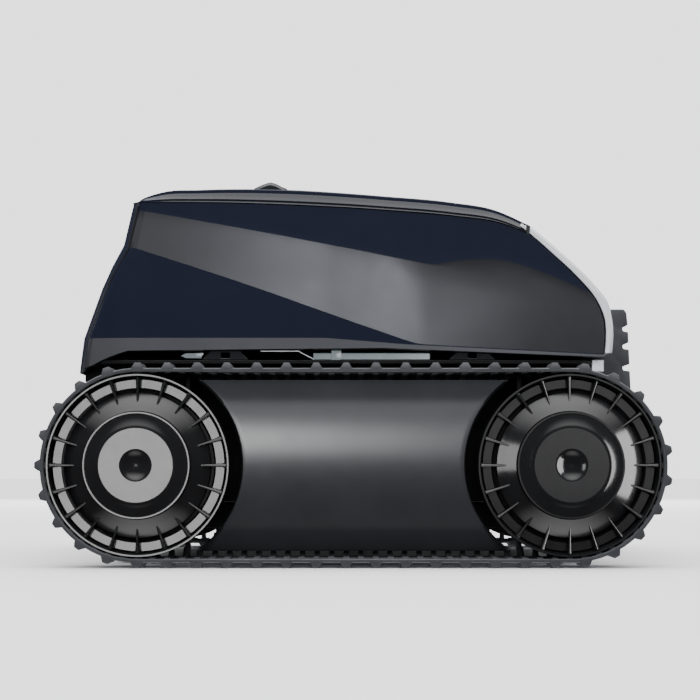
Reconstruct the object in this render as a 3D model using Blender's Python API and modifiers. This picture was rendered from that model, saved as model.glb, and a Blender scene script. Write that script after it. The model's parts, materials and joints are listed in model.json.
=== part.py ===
"""Tracked pool-cleaning robot: a hooded body carried between two toothed rubber tracks.

Blender 4.5, metres, +Z up. Run it with: blender --background --python part.py
+X is the front (the visor end), +Y is the robot's left, and the track lugs stand on z = 0.
Right-hand pieces are modelled first, and the left-hand ones are their mirror images.
"""

import math

import bmesh
import bpy
import numpy as np
from mathutils import Matrix, Vector

# Driving dimensions
WHEELBASE = 0.298
STEPS_BETWEEN_WHEELS = 29
STEPS_ROUND_WHEEL = 40
TRACK_OUTER_Y = 0.200
TRACK_WIDTH = 0.046
LUG_TIP_RADIUS = 0.0708
GAP = 0.0003
WALL = 0.003
PAST = 0.001

# Sides of round pieces
PIN_SIDES = 12
SHAFT_SIDES = 16
ROUND_SIDES = 24
HUB_SIDES = 32
WHEEL_SIDES = 48
SCOOP_SIDES = 64
END_STEPS = 8

# Tracks: radii are from a wheel's axle line, and half widths of teeth are in tooth pitches
PITCH = WHEELBASE / STEPS_BETWEEN_WHEELS
TRACK_STEPS = 2 * STEPS_BETWEEN_WHEELS + STEPS_ROUND_WHEEL
TRACK_INNER_Y = TRACK_OUTER_Y - TRACK_WIDTH
AXLE_Z = LUG_TIP_RADIUS
BELT_OUTER_RADIUS = 0.0670
BELT_INNER_RADIUS = 0.0640
TOOTH_TIP_RADIUS = 0.0578
TOOTH_BAND_OUTER_Y = 0.1695
LUG_HALF_WIDTHS = (0.42, 0.17)
TOOTH_HALF_WIDTHS = (0.214, 0.13)

# Wheels, from the outside (the rim's face) inwards along Y
WHEEL_X = {"rear": -WHEELBASE / 2, "front": WHEELBASE / 2}
WHEEL_RADIUS = 0.0632
WHEEL_INNER_Y = TRACK_INNER_Y - 0.0005
RIM_FACE_Y = 0.1980
RIM_LIP_RADIUS = 0.0615
WELL_FLOOR = (0.0595, 0.1900)
DISH_EDGE = (0.0500, 0.1925)
HUB_RADIUS = 0.0368
HUB_SEAT_Y = 0.2010
HUB_EDGE_Y = 0.2065
HUB_FACE_RADIUS = 0.0268
HUB_FACE_Y = 0.2100
DIMPLE_RADIUS = 0.0103
DIMPLE_Y = 0.2075
WEB_BACK_Y = 0.1820
RIM_BACK_RADIUS = 0.0530
GROOVE_RADIUS = TOOTH_TIP_RADIUS - 0.0008
GROOVE_OUTER_Y = TOOTH_BAND_OUTER_Y + 0.0015

# Axles and bushes
AXLE_RADIUS = 0.0050
AXLE_END_Y = HUB_SEAT_Y - 0.0005
COLLAR_RADIUS = 0.0080
COLLAR_Y = (0.1290, 0.1330)
BUSH_RADIUS = 0.0110
BUSH_Y = (0.1340, 0.1490)

# Hull tub, between the tracks. Its floor is stepped up over the brushes at both ends.
HULL_HALF_WIDTH = 0.138
HULL_HALF_LENGTH = 0.165
HULL_KEEL_HALF_LENGTH = 0.118
HULL_BOTTOM_Z = 0.026
HULL_STEP_Z = 0.0530
HULL_TOP_Z = 0.140
FLOOR_Z = HULL_BOTTOM_Z + WALL
STEP_FLOOR_Z = HULL_STEP_Z + WALL
SUCTION_HALF_LENGTH = 0.012
SUCTION_HALF_WIDTH = 0.085
FRAME_OUTER_Y = 0.1495
FRAME_HALF_HEIGHT = 0.026

# Deck: the flat frame on the hull's top edge, which carries the hood over the tracks
DECK_Z = (0.1425, 0.1450)
DECK_REAR_X = -0.1880
DECK_FRONT_X = 0.1694

# Hood outline in side view, as (height, x) up its rear and its front
HOOD_REAR = [(0.130, -0.195), (0.160, -0.192), (0.202, -0.176), (0.224, -0.1635), (0.256, -0.1575)]
HOOD_REAR += [(0.2645, -0.142), (0.269, -0.115), (0.277, -0.095)]
HOOD_FRONT = [(0.130, 0.180), (0.175, 0.183), (0.186, 0.181), (0.204, 0.1665), (0.237, 0.1305)]
HOOD_FRONT += [(0.248, 0.115), (0.258, 0.078), (0.2645, 0.019), (0.269, -0.038), (0.277, -0.072)]
HOOD_LEVELS = (0.130, 0.160, 0.175, 0.186, 0.204, 0.224, 0.237, 0.248, 0.258, 0.2645, 0.269, 0.277)
HOOD_HALF_WIDTH = 0.168
HOOD_SHOULDER_Z = 0.160
HOOD_LEAN = 0.235
CROWN_START_Z = 0.258
CROWN_RISE = 0.0115
CROWN_ROUND = 0.019
CROWN_TOP_HALF_WIDTH = 0.050
HOOD_CORNER = 0.010
LID_SEAM = [(-0.200, 0.2585), (0.020, 0.2530), (0.070, 0.2485)]
LID_SEAM += [(0.105, 0.2430), (0.130, 0.2345), (0.200, 0.2140)]
HOOD_HEM = [(-0.200, 0.1325), (-0.175, 0.1460), (-0.160, 0.1515), (0.020, 0.1535), (0.200, 0.1460)]
VISOR_BOTTOM_Z = 0.152
VISOR_TOP_Z = 0.233
VISOR_LEVELS = (VISOR_TOP_Z, 0.218, 0.202, 0.1835, 0.174, VISOR_BOTTOM_Z)
VISOR_DEPTH = 0.0068
VISOR_SLOPE_DEPTH = 1.12 * VISOR_DEPTH

# Lid hinge and power button
LID_LIFT = 1.5 * GAP
LID_HINGE = (-0.1610, 0.2575)
HINGE_RADIUS = 0.0032
HINGE_PIN_RADIUS = 0.0013
LID_KNUCKLE_HALF_WIDTH = 0.0215
HOOD_KNUCKLE_Y = (0.022, 0.036)
HINGE_WEB_Z = (0.0019, 0.0065)
LID_WEB_REACH = 0.0105
HOOD_WEB_REACH = 0.0060
BUTTON_X = (-0.0775, -0.0520)
BUTTON_HALF_WIDTH = 0.0140
BUTTON_PEAK_Z = 0.2932
BUTTON_BASE_Z = 0.2600
BUTTON_FLANK_Z = {"rear": 0.2785, "front": 0.2765}
BUTTON_CREST = [(0.0085, 0.0007), (0.0120, 0)]
BUTTON_CLEARANCE = 2 * GAP

# Roller brushes under the hull's stepped ends
BRUSH_X = {"rear": -0.163, "front": 0.163}
BRUSH_Z = 0.0300
BRUSH_RADIUS = 0.0205
BRUSH_HALF_LENGTH = 0.124
BRUSH_PIN_RADIUS = 0.0030
BRUSH_PIN_HALF_LENGTH = 0.136
BRUSH_HANGER_Y = (0.1285, 0.1345)
BRUSH_HANGER_HALF_LENGTH = 0.008

# Pump
PUMP_X = -0.0750
PUMP_MOTOR_RADIUS = 0.0200
PUMP_MOTOR_LENGTH = 0.052
IMPELLER_RADIUS = 0.0240
IMPELLER_DISC_Z = 0.0885
DRIVE_MOTOR_RADIUS = 0.0122
DRIVE_MOTOR_INNER_Y = 0.060

BLACK = (0.020, 0.021, 0.024)
NAVY = (0.016, 0.019, 0.032)
GREY = (0.110, 0.115, 0.125)
SILVER = (0.560, 0.590, 0.620)
RUBBER = (0.055, 0.057, 0.062)
STEEL = (0.520, 0.520, 0.530)


def clear_scene():
    for item in list(bpy.data.objects):
        bpy.data.objects.remove(item, do_unlink=True)


def new_collection(name):
    made = bpy.data.collections.new(name)
    bpy.context.scene.collection.children.link(made)
    return made


clear_scene()
PARTS = new_collection("tracked_pool_robot")
HELPERS = new_collection("cutters")


def material(name, colour, roughness, metallic=0.0):
    made = bpy.data.materials.new(name)
    made.use_nodes = True
    shader = made.node_tree.nodes["Principled BSDF"]
    shader.inputs["Base Color"].default_value = (*colour, 1.0)
    shader.inputs["Roughness"].default_value = roughness
    shader.inputs["Metallic"].default_value = metallic
    made.diffuse_color = (*colour, 1.0)
    return made


MATERIALS = {
    "rubber": material("rubber", RUBBER, 0.65),
    "wheel": material("gloss_black_plastic", BLACK, 0.18),
    "side": material("gloss_grey_plastic", GREY, 0.22),
    "hood": material("metallic_navy_paint", NAVY, 0.25, 0.3),
    "hull": material("matt_black_plastic", BLACK, 0.55),
    "silver": material("silver_trim", SILVER, 0.30, 0.6),
    "steel": material("steel", STEEL, 0.25, 1.0),
    "mesh": material("filter_grey", GREY, 0.70),
}


# ---------------------------------------------------------------- modelling helpers


def finish_piece(obj, name, finish):
    """Names a piece, gives it its material and shades its round faces smooth."""
    obj.name = name
    obj.data.name = name
    obj.data.materials.clear()
    obj.data.materials.append(MATERIALS[finish])
    obj.data.shade_smooth()
    obj.data.set_sharp_from_angle(angle=math.radians(35))
    return obj


def helper(obj):
    """Turns an object into a cutter or tool that is no part of the model."""
    obj.hide_render = True
    obj.display_type = "WIRE"
    PARTS.objects.unlink(obj)
    HELPERS.objects.link(obj)
    return obj


def boolean(obj, other, operation):
    modifier = obj.modifiers.new(f"{operation}_{other.name}".lower(), "BOOLEAN")
    modifier.operation = operation
    modifier.object = other
    modifier.solver = "EXACT"
    helper(other)


def cut(obj, *cutters):
    for cutter in cutters:
        boolean(obj, cutter, "DIFFERENCE")
    return obj


def join(obj, *others):
    for other in others:
        boolean(obj, other, "UNION")
    return obj


def adopt(obj, name):
    """Moves an object that an operator made into the parts' collection."""
    for owner in list(obj.users_collection):
        owner.objects.unlink(obj)
    PARTS.objects.link(obj)
    obj.name = name
    return obj


def mesh_object(name, mesh):
    obj = bpy.data.objects.new(name, mesh)
    PARTS.objects.link(obj)
    return obj


def prism(name, outline, low, high, along="Y"):
    """A closed outline, in the plane across the axis, filled from low to high along it."""
    shape = bmesh.new()
    axis = "XYZ".index(along)
    step = Vector((0, 0, 0))
    step[axis] = high - low
    corners = [shape.verts.new((*point[:axis], low, *point[axis:])) for point in outline]
    swept = bmesh.ops.extrude_face_region(shape, geom=[shape.faces.new(corners)])
    moved = [item for item in swept["geom"] if isinstance(item, bmesh.types.BMVert)]
    bmesh.ops.translate(shape, verts=moved, vec=step)
    bmesh.ops.recalc_face_normals(shape, faces=shape.faces)
    mesh = bpy.data.meshes.new(name)
    shape.to_mesh(mesh)
    shape.free()
    return mesh_object(name, mesh)


def box(name, low, high):
    low, high = Vector(low), Vector(high)
    bpy.ops.mesh.primitive_cube_add(size=1, location=(low + high) / 2)
    obj = adopt(bpy.context.object, name)
    obj.data.transform(Matrix.Diagonal((*(high - low), 1)))
    return obj


def cylinder(name, radius, start, length, direction, sides=ROUND_SIDES):
    """A cylinder from start along an axis direction."""
    along = Vector(direction)
    bpy.ops.mesh.primitive_cylinder_add(
        radius=radius,
        depth=length,
        vertices=sides,
        location=Vector(start) + along * length / 2,
        rotation=along.to_track_quat("Z", "Y").to_euler(),
    )
    return adopt(bpy.context.object, name)


def across(name, radius, x, z, half_length, sides=ROUND_SIDES):
    """A cylinder along Y, centred on the robot's middle."""
    return cylinder(name, radius, (x, -half_length, z), 2 * half_length, (0, 1, 0), sides)


def turned(name, profile, x, steps):
    """A solid turned about the wheel axle at x, from a closed (radius, outward y) profile.

    Outward is -Y, the right-hand side. The profile runs down its outer side first.
    """
    mesh = bpy.data.meshes.new(name)
    points = [(radius, 0, outward) for radius, outward in profile]
    edges = [(i, (i + 1) % len(points)) for i in range(len(points))]
    if profile[0][0] == 0 and profile[-1][0] == 0:
        edges.pop()
    mesh.from_pydata(points, edges, [])
    obj = mesh_object(name, mesh)
    screw = obj.modifiers.new("turn", "SCREW")
    screw.axis = "Z"
    screw.steps = steps
    screw.render_steps = steps
    screw.use_merge_vertices = True
    screw.merge_threshold = 0.00001
    obj.rotation_euler = (math.pi / 2, 0, 0)
    obj.location = (x, 0, AXLE_Z)
    bpy.context.view_layer.update()
    return obj


def evaluated_mesh(obj):
    bpy.context.view_layer.update()
    graph = bpy.context.evaluated_depsgraph_get()
    return bpy.data.meshes.new_from_object(obj.evaluated_get(graph))


def welded(obj):
    """Replaces a curve object by a mesh of its shape, with its caps welded on."""
    mesh = evaluated_mesh(obj)
    shape = bmesh.new()
    shape.from_mesh(mesh)
    bmesh.ops.remove_doubles(shape, verts=shape.verts, dist=0.000005)
    shape.to_mesh(mesh)
    shape.free()
    made = mesh_object(obj.name, mesh)
    made.matrix_world = obj.matrix_world
    bpy.data.objects.remove(obj, do_unlink=True)
    return made


def mirrored(obj):
    """A left-hand copy of a finished right-hand piece, with its origin mirrored too."""
    name = obj.name.replace("right", "left")
    mesh = evaluated_mesh(obj)
    flip = Matrix.Diagonal((1, -1, 1, 1))
    origin = flip @ obj.matrix_world.translation
    mesh.transform(Matrix.Translation(-origin) @ flip @ obj.matrix_world)
    mesh.flip_normals()
    mesh.name = name
    made = mesh_object(name, mesh)
    made.location = origin
    return made


def pivot(name, place, *pieces):
    """An empty on a joint's axis, which carries the pieces that move with it."""
    empty = bpy.data.objects.new(name, None)
    empty.location = place
    empty.empty_display_size = 0.02
    PARTS.objects.link(empty)
    bpy.context.view_layer.update()
    for piece in pieces:
        piece.parent = empty
        piece.matrix_parent_inverse = empty.matrix_world.inverted()


def arc(centre, radius, start, end, steps):
    """Points on a circle from start to end degrees."""
    angles = [math.radians(start + (end - start) * i / steps) for i in range(steps + 1)]
    return [(centre[0] + radius * math.cos(a), centre[1] + radius * math.sin(a)) for a in angles]


# ---------------------------------------------------------------- tracks


def track_point(step, radius):
    """The point `step` tooth pitches round the track from the rear wheel's lowest point."""
    straight = STEPS_BETWEEN_WHEELS
    around = STEPS_ROUND_WHEEL / 2
    step %= TRACK_STEPS
    if step <= straight:
        return WHEEL_X["rear"] + step * PITCH, AXLE_Z - radius
    if step <= straight + around:
        angle = math.pi * ((step - straight) / around - 0.5)
        return WHEEL_X["front"] + radius * math.cos(angle), AXLE_Z + radius * math.sin(angle)
    if step <= 2 * straight + around:
        return WHEEL_X["front"] - (step - straight - around) * PITCH, AXLE_Z + radius
    angle = math.pi * ((step - 2 * straight - around) / around + 0.5)
    return WHEEL_X["rear"] + radius * math.cos(angle), AXLE_Z + radius * math.sin(angle)


def ridged_outline(spacing, base_radius, tip_radius, half_widths):
    """The track's outline with one ridge every `spacing` pitches."""
    base_half, tip_half = half_widths
    corners = [(-base_half, base_radius), (-tip_half, tip_radius)]
    corners += [(tip_half, tip_radius), (base_half, base_radius)]
    ridges = range(0, TRACK_STEPS, spacing)
    return [track_point(ridge + offset, radius) for ridge in ridges for offset, radius in corners]


def plain_outline(radius):
    """The track's outline without ridges, with its corners midway between teeth on the round ends."""
    around = STEPS_ROUND_WHEEL // 2
    starts = (STEPS_BETWEEN_WHEELS, 2 * STEPS_BETWEEN_WHEELS + around)
    return [track_point(start + i - 0.5, radius) for start in starts for i in range(around + 2)]


def make_track():
    """A belt with outer lugs, and inner teeth on its inboard third."""
    name = "right_track"
    lugs = ridged_outline(2, BELT_OUTER_RADIUS, LUG_TIP_RADIUS, LUG_HALF_WIDTHS)
    teeth = ridged_outline(1, BELT_INNER_RADIUS, TOOTH_TIP_RADIUS, TOOTH_HALF_WIDTHS)
    plain = plain_outline(BELT_INNER_RADIUS + GAP)
    track = prism(name, lugs, -TRACK_OUTER_Y, -TRACK_INNER_Y)
    cut(track, prism("tooth_space", teeth, -TOOTH_BAND_OUTER_Y - PAST, -TRACK_INNER_Y + PAST))
    cut(track, prism("plain_space", plain, -TRACK_OUTER_Y - PAST, -TOOTH_BAND_OUTER_Y))
    return finish_piece(track, name, "rubber")


# ---------------------------------------------------------------- wheels


def make_wheel(end):
    """A wheel with a dished face, a rim that the belt rides on and a groove for the belt's teeth."""
    bore = AXLE_RADIUS + GAP
    profile = [(WHEEL_RADIUS, RIM_FACE_Y), (WHEEL_RADIUS, GROOVE_OUTER_Y)]
    profile += [(GROOVE_RADIUS, GROOVE_OUTER_Y), (GROOVE_RADIUS, WHEEL_INNER_Y)]
    profile += [(RIM_BACK_RADIUS, WHEEL_INNER_Y), (RIM_BACK_RADIUS, WEB_BACK_Y)]
    profile += [(bore, WEB_BACK_Y), (bore, HUB_SEAT_Y), (HUB_RADIUS, HUB_SEAT_Y)]
    profile += [DISH_EDGE, WELL_FLOOR, (RIM_LIP_RADIUS, RIM_FACE_Y)]
    name = f"right_{end}_wheel"
    return finish_piece(turned(name, profile, WHEEL_X[end], WHEEL_SIDES), name, "wheel")


def make_hub_cap(end):
    back = HUB_SEAT_Y + GAP
    profile = [(0, DIMPLE_Y), (DIMPLE_RADIUS, HUB_FACE_Y), (HUB_FACE_RADIUS, HUB_FACE_Y)]
    profile += [(HUB_RADIUS, HUB_EDGE_Y), (HUB_RADIUS, back), (0, back)]
    name = f"right_{end}_hub_cap"
    return finish_piece(turned(name, profile, WHEEL_X[end], HUB_SIDES), name, "wheel")


def make_axle(end):
    """A stub axle, with a collar inside the hull's side wall. It turns with its wheel."""
    collar_in, collar_out = COLLAR_Y
    profile = [(0, AXLE_END_Y), (AXLE_RADIUS, AXLE_END_Y), (AXLE_RADIUS, collar_out)]
    profile += [(COLLAR_RADIUS, collar_out), (COLLAR_RADIUS, collar_in), (0, collar_in)]
    name = f"right_{end}_axle"
    return finish_piece(turned(name, profile, WHEEL_X[end], SHAFT_SIDES), name, "steel")


def make_bearing(end):
    """A plain bush, pressed through the hull's side and the track frame."""
    bore = AXLE_RADIUS + GAP
    inner, outer = BUSH_Y
    profile = [(BUSH_RADIUS, outer), (BUSH_RADIUS, inner), (bore, inner), (bore, outer)]
    name = f"right_{end}_bearing"
    return finish_piece(turned(name, profile, WHEEL_X[end], SHAFT_SIDES), name, "steel")


# ---------------------------------------------------------------- track frames and side covers

SCOOP_RADIUS = 0.0690
COVER_HALF_HEIGHT = 0.0600
COVER_BACK_HALF_HEIGHT = 0.0550
COVER_CREST_Y = 0.1900
COVER_EDGE_Y = 0.1735
COVER_STEP_Y = 0.1715
COVER_HOLLOW_END = 0.010
COVER_STEPS = 12


def make_track_frame():
    """The plate beside the hull that carries both wheels' bushes and the side cover."""
    outline = arc((WHEEL_X["front"], AXLE_Z), FRAME_HALF_HEIGHT, -90, 90, END_STEPS)
    outline += arc((WHEEL_X["rear"], AXLE_Z), FRAME_HALF_HEIGHT, 90, 270, END_STEPS)
    name = "right_track_frame"
    frame = prism(name, outline, -FRAME_OUTER_Y, -HULL_HALF_WIDTH - GAP)
    for end, x in WHEEL_X.items():
        cut(frame, across(f"{end}_frame_bore", BUSH_RADIUS + GAP, x, AXLE_Z, TRACK_OUTER_Y, SHAFT_SIDES))
    return finish_piece(frame, name, "hull")


def cover_section(inset, back_y):
    """The side cover's section in (y, z), from its back round its bulging face."""
    bulge = COVER_CREST_Y - COVER_EDGE_Y
    radius = (COVER_HALF_HEIGHT**2 + bulge**2) / (2 * bulge)
    spread = math.degrees(math.asin(COVER_HALF_HEIGHT / radius))
    shrink = 1 - inset / COVER_HALF_HEIGHT
    face = arc((COVER_CREST_Y - radius, 0), radius, -spread, spread, COVER_STEPS)
    face = [(y - inset, AXLE_Z + z * shrink) for y, z in face]
    half = COVER_BACK_HALF_HEIGHT - inset
    step = COVER_STEP_Y - inset
    low, high = AXLE_Z - half, AXLE_Z + half
    section = [(back_y, low), (step, low), (step, face[0][1])] + face
    section += [(step, face[-1][1]), (step, high), (back_y, high)]
    return [(-y, z) for y, z in section]


def make_side_cover():
    """The bulging cover between the wheels, hollow from behind and scooped round each wheel."""
    half, name = WHEELBASE / 2, "right_side_cover"
    cover = prism(name, cover_section(0, FRAME_OUTER_Y + GAP), -half, half, along="X")
    inner = cover_section(WALL, FRAME_OUTER_Y - PAST)
    hollow = prism("cover_hollow", inner, COVER_HOLLOW_END - half, half - COVER_HOLLOW_END, along="X")
    for end, x in WHEEL_X.items():
        cut(cover, across(f"{end}_scoop", SCOOP_RADIUS, x, AXLE_Z, TRACK_OUTER_Y, SCOOP_SIDES))
        cut(hollow, across(f"{end}_scoop_wall", SCOOP_RADIUS + WALL, x, AXLE_Z, TRACK_OUTER_Y, SCOOP_SIDES))
    cut(cover, hollow)
    return finish_piece(cover, name, "side")


# ---------------------------------------------------------------- hull, deck and brushes


def stepped_outline(inset, top):
    """The hull's side view: a flat keel with a raised floor over the brush at each end."""
    half, keel = HULL_HALF_LENGTH - inset, HULL_KEEL_HALF_LENGTH - inset
    low, step = HULL_BOTTOM_Z + inset, HULL_STEP_Z + inset
    right = [(keel, low), (keel, step), (half, step), (half, top)]
    return right + [(-x, z) for x, z in reversed(right)]


def make_hull():
    """The open tub between the tracks, with bush bores in its sides and a suction slot in its floor."""
    half = HULL_HALF_WIDTH
    hull = prism("hull_tub", stepped_outline(0, HULL_TOP_Z), -half, half)
    cut(hull, prism("hull_hollow", stepped_outline(WALL, HULL_TOP_Z + PAST), WALL - half, half - WALL))
    slot_low = (-SUCTION_HALF_LENGTH, -SUCTION_HALF_WIDTH, HULL_BOTTOM_Z - PAST)
    slot_high = (SUCTION_HALF_LENGTH, SUCTION_HALF_WIDTH, FLOOR_Z + PAST)
    cut(hull, box("suction_slot", slot_low, slot_high))
    for end, x in WHEEL_X.items():
        cut(hull, across(f"{end}_hull_bore", BUSH_RADIUS + GAP, x, AXLE_Z, TRACK_OUTER_Y, SHAFT_SIDES))
    return finish_piece(hull, "hull_tub", "hull")


def make_deck():
    """A flat frame on the hull's top edge, reaching out over the tracks to the hood's inner face."""
    edge, corner = HOOD_HALF_WIDTH - WALL - GAP, HOOD_CORNER
    low, high = DECK_Z
    right = [(DECK_REAR_X, corner - edge), (DECK_REAR_X + corner, -edge)]
    right += [(DECK_FRONT_X - corner, -edge), (DECK_FRONT_X, corner - edge)]
    deck = prism("hull_deck", right + [(x, -y) for x, y in reversed(right)], low, high, along="Z")
    foot_x, foot_y = HULL_HALF_LENGTH, HULL_HALF_WIDTH
    join(deck, box("deck_foot", (-foot_x, -foot_y, HULL_TOP_Z + GAP), (foot_x, foot_y, low + PAST)))
    hole_x, hole_y = foot_x - 2 * WALL, foot_y - 2 * WALL
    cut(deck, box("deck_hole", (-hole_x, -hole_y, HULL_TOP_Z - PAST), (hole_x, hole_y, high + PAST)))
    return finish_piece(deck, "hull_deck", "hull")


def make_brush_hanger(end):
    """The arm under the hull's step that holds the right-hand end of a brush's pin."""
    inner, outer = BRUSH_HANGER_Y
    x, reach = BRUSH_X[end], BRUSH_HANGER_HALF_LENGTH
    top = HULL_STEP_Z - GAP
    outline = [(x - reach, top)] + arc((x, BRUSH_Z), reach, 180, 360, END_STEPS) + [(x + reach, top)]
    name = f"right_{end}_brush_hanger"
    hanger = prism(name, outline, -outer, -inner)
    cut(hanger, across(f"{name}_bore", BRUSH_PIN_RADIUS + GAP, x, BRUSH_Z, TRACK_OUTER_Y, PIN_SIDES))
    return finish_piece(hanger, name, "hull")


def make_brush(end):
    x, name = BRUSH_X[end], f"{end}_roller_brush"
    brush = across(name, BRUSH_RADIUS, x, BRUSH_Z, BRUSH_HALF_LENGTH)
    cut(brush, across(f"{name}_bore", BRUSH_PIN_RADIUS + GAP, x, BRUSH_Z, TRACK_OUTER_Y, PIN_SIDES))
    return finish_piece(brush, name, "rubber")


def make_brush_pin(end):
    name = f"{end}_brush_pin"
    pin = across(name, BRUSH_PIN_RADIUS, BRUSH_X[end], BRUSH_Z, BRUSH_PIN_HALF_LENGTH, PIN_SIDES)
    return finish_piece(pin, name, "steel")


# ---------------------------------------------------------------- hood, lid and visor

FAR_X = 0.25
ABOVE_ALL_Z = 0.36
BELOW_ALL_Z = 0.05


def outline_x(side, height):
    heights, xs = zip(*side)
    return float(np.interp(height, heights, xs))


def hood_half_width(height):
    """Upright to the shoulder, leaning inwards above it, then rounding over into the crown."""
    if height > CROWN_START_Z + CROWN_RISE:
        return CROWN_TOP_HALF_WIDTH
    half = HOOD_HALF_WIDTH - HOOD_LEAN * max(0, height - HOOD_SHOULDER_Z)
    rise = max(0, height - CROWN_START_Z) / CROWN_RISE
    return half - CROWN_ROUND * (1 - math.sqrt(max(0, 1 - rise**2)))


def ring_points(height, rise, inset):
    """One level ring of the hood: a rectangle with bevelled corners."""
    rear, front = outline_x(HOOD_REAR, height) + inset, outline_x(HOOD_FRONT, height) - inset
    half, corner = hood_half_width(height) - inset, HOOD_CORNER
    right = [(rear, corner - half), (rear + corner, -half)]
    right += [(front - corner, -half), (front, corner - half)]
    left = [(x, -y) for x, y in reversed(right)]
    return [(x, y, height + rise) for x, y in right + left]


def hood_loft(name, inset, sink):
    """A solid through the hood's level rings, which are drawn in by inset and sunk by sink."""
    rings = [ring_points(height, -sink, inset) for height in HOOD_LEVELS]
    count = len(rings[0])
    faces = [range(count)[::-1], range(count * (len(rings) - 1), count * len(rings))]
    for level in range(len(rings) - 1):
        for i in range(count):
            low, next_low = level * count + i, level * count + (i + 1) % count
            faces.append((low, next_low, next_low + count, low + count))
    mesh = bpy.data.meshes.new(name)
    mesh.from_pydata([point for ring in rings for point in ring], [], [list(face) for face in faces])
    return mesh_object(name, mesh)


def hood_blank(name):
    """The hood's full outer shape, hollowed from below."""
    return cut(hood_loft(name, 0, 0), hood_loft(f"{name}_hollow", WALL, WALL))


def above(name, seam, lift=0):
    """Everything above a seam line, across the whole width."""
    line = [(x, z + lift) for x, z in seam]
    return prism(name, line + [(FAR_X, ABOVE_ALL_Z), (-FAR_X, ABOVE_ALL_Z)], -FAR_X, FAR_X)


def below(name, seam, lift=0):
    line = [(x, z + lift) for x, z in seam]
    return prism(name, line + [(FAR_X, BELOW_ALL_Z), (-FAR_X, BELOW_ALL_Z)], -FAR_X, FAR_X)


def visor_region(name, grow):
    """The strip behind the hood's front outline that the visor fills, grown by a clearance."""
    back = []
    for height in VISOR_LEVELS:
        depth = VISOR_SLOPE_DEPTH if height > HOOD_FRONT[1][0] else VISOR_DEPTH
        back.append((outline_x(HOOD_FRONT, height) - depth - grow, height))
    back[0] = (back[0][0] - grow, VISOR_TOP_Z + grow)
    back[-1] = (back[-1][0], VISOR_BOTTOM_Z - grow)
    front = [(FAR_X, VISOR_BOTTOM_Z - grow), (FAR_X, VISOR_TOP_Z + grow)]
    return prism(name, back + front, -FAR_X, FAR_X)


def hinge_knuckles(name, spans, side, reach):
    """Hinge barrels on the lid's axis. side is +1 to reach up to the lid and -1 down to the hood."""
    x, z = LID_HINGE
    web_low, web_high = sorted(z + side * offset for offset in HINGE_WEB_Z)
    made = []
    for number, (low, high) in enumerate(spans):
        start, length = (x, low, z), high - low
        made.append(cylinder(f"{name}_{number}", HINGE_RADIUS, start, length, (0, 1, 0), SHAFT_SIDES))
        made.append(box(f"{name}_web_{number}", (x, low, web_low), (x + reach, high, web_high)))
    return made


def hinge_bore(name):
    return across(name, HINGE_PIN_RADIUS + GAP, *LID_HINGE, HOOD_HALF_WIDTH / 2, PIN_SIDES)


def make_hood():
    hood = hood_blank("hood_shell")
    cut(hood, above("lid_space", LID_SEAM))
    cut(hood, below("hem_space", HOOD_HEM))
    cut(hood, visor_region("visor_space", GAP))
    near, far = HOOD_KNUCKLE_Y
    join(hood, *hinge_knuckles("hood_knuckle", ((-far, -near), (near, far)), -1, HOOD_WEB_REACH))
    cut(hood, hinge_bore("hood_hinge_bore"))
    return finish_piece(hood, "hood_shell", "hood")


def make_lid():
    lid = hood_blank("top_lid")
    cut(lid, below("lid_underside", LID_SEAM, LID_LIFT))
    cut(lid, visor_region("visor_clearance", GAP))
    half = LID_KNUCKLE_HALF_WIDTH
    join(lid, *hinge_knuckles("lid_knuckle", ((-half, half),), 1, LID_WEB_REACH))
    cut(lid, hinge_bore("lid_hinge_bore"))
    rear, front = BUTTON_X
    half = BUTTON_HALF_WIDTH + BUTTON_CLEARANCE
    hole_low = (rear - BUTTON_CLEARANCE, -half, LID_HINGE[1])
    cut(lid, box("button_hole", hole_low, (front + BUTTON_CLEARANCE, half, BUTTON_PEAK_Z)))
    return finish_piece(lid, "top_lid", "hood")


def make_hinge_pin():
    pin = across("lid_hinge_pin", HINGE_PIN_RADIUS, *LID_HINGE, HOOD_KNUCKLE_Y[1] + PAST, PIN_SIDES)
    return finish_piece(pin, "lid_hinge_pin", "steel")


def make_visor():
    visor = hood_loft("front_visor", 0, 0)
    boolean(visor, visor_region("visor_blank", 0), "INTERSECT")
    cut(visor, above("visor_top", LID_SEAM))
    return finish_piece(visor, "front_visor", "silver")


# ---------------------------------------------------------------- small outer pieces

BUMPER_BACK_X = 0.1845
BUMPER_FACE_X = 0.1978
BUMPER_TOP_Z = 0.1850
BUMPER_BOTTOM_Z = 0.1120
BUMPER_FOOT_TOP_Z = 0.1300
BUMPER_HALF_WIDTH = 0.112
NOTCH_HEIGHTS = (0.1408, 0.1565, 0.1692)
NOTCH_RADIUS = 0.0024
NOTCH_DEPTH = 0.002
NOTCH_STEPS = 4
CHIN_FRONT_X = 0.1785
CHIN_HALF_WIDTH = 0.150
CHIN_Z = (0.1375, 0.1460)
HANDLE_RADIUS = 0.0042
HANDLE_Z = 0.2143
HANDLE_LEG = [(-0.1730, -0.0540), (-0.1780, -0.0535), (-0.1812, -0.0490)]
BRACKET_X = {"rear": -0.0905, "front": 0.0838}
BRACKET_Y = (0.1540, 0.1644)
RAIL_X = (-0.0285, 0.0540)
RAIL_Y = (0.1612, 0.1642)
RAIL_TOP_Z = 0.1500


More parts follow.
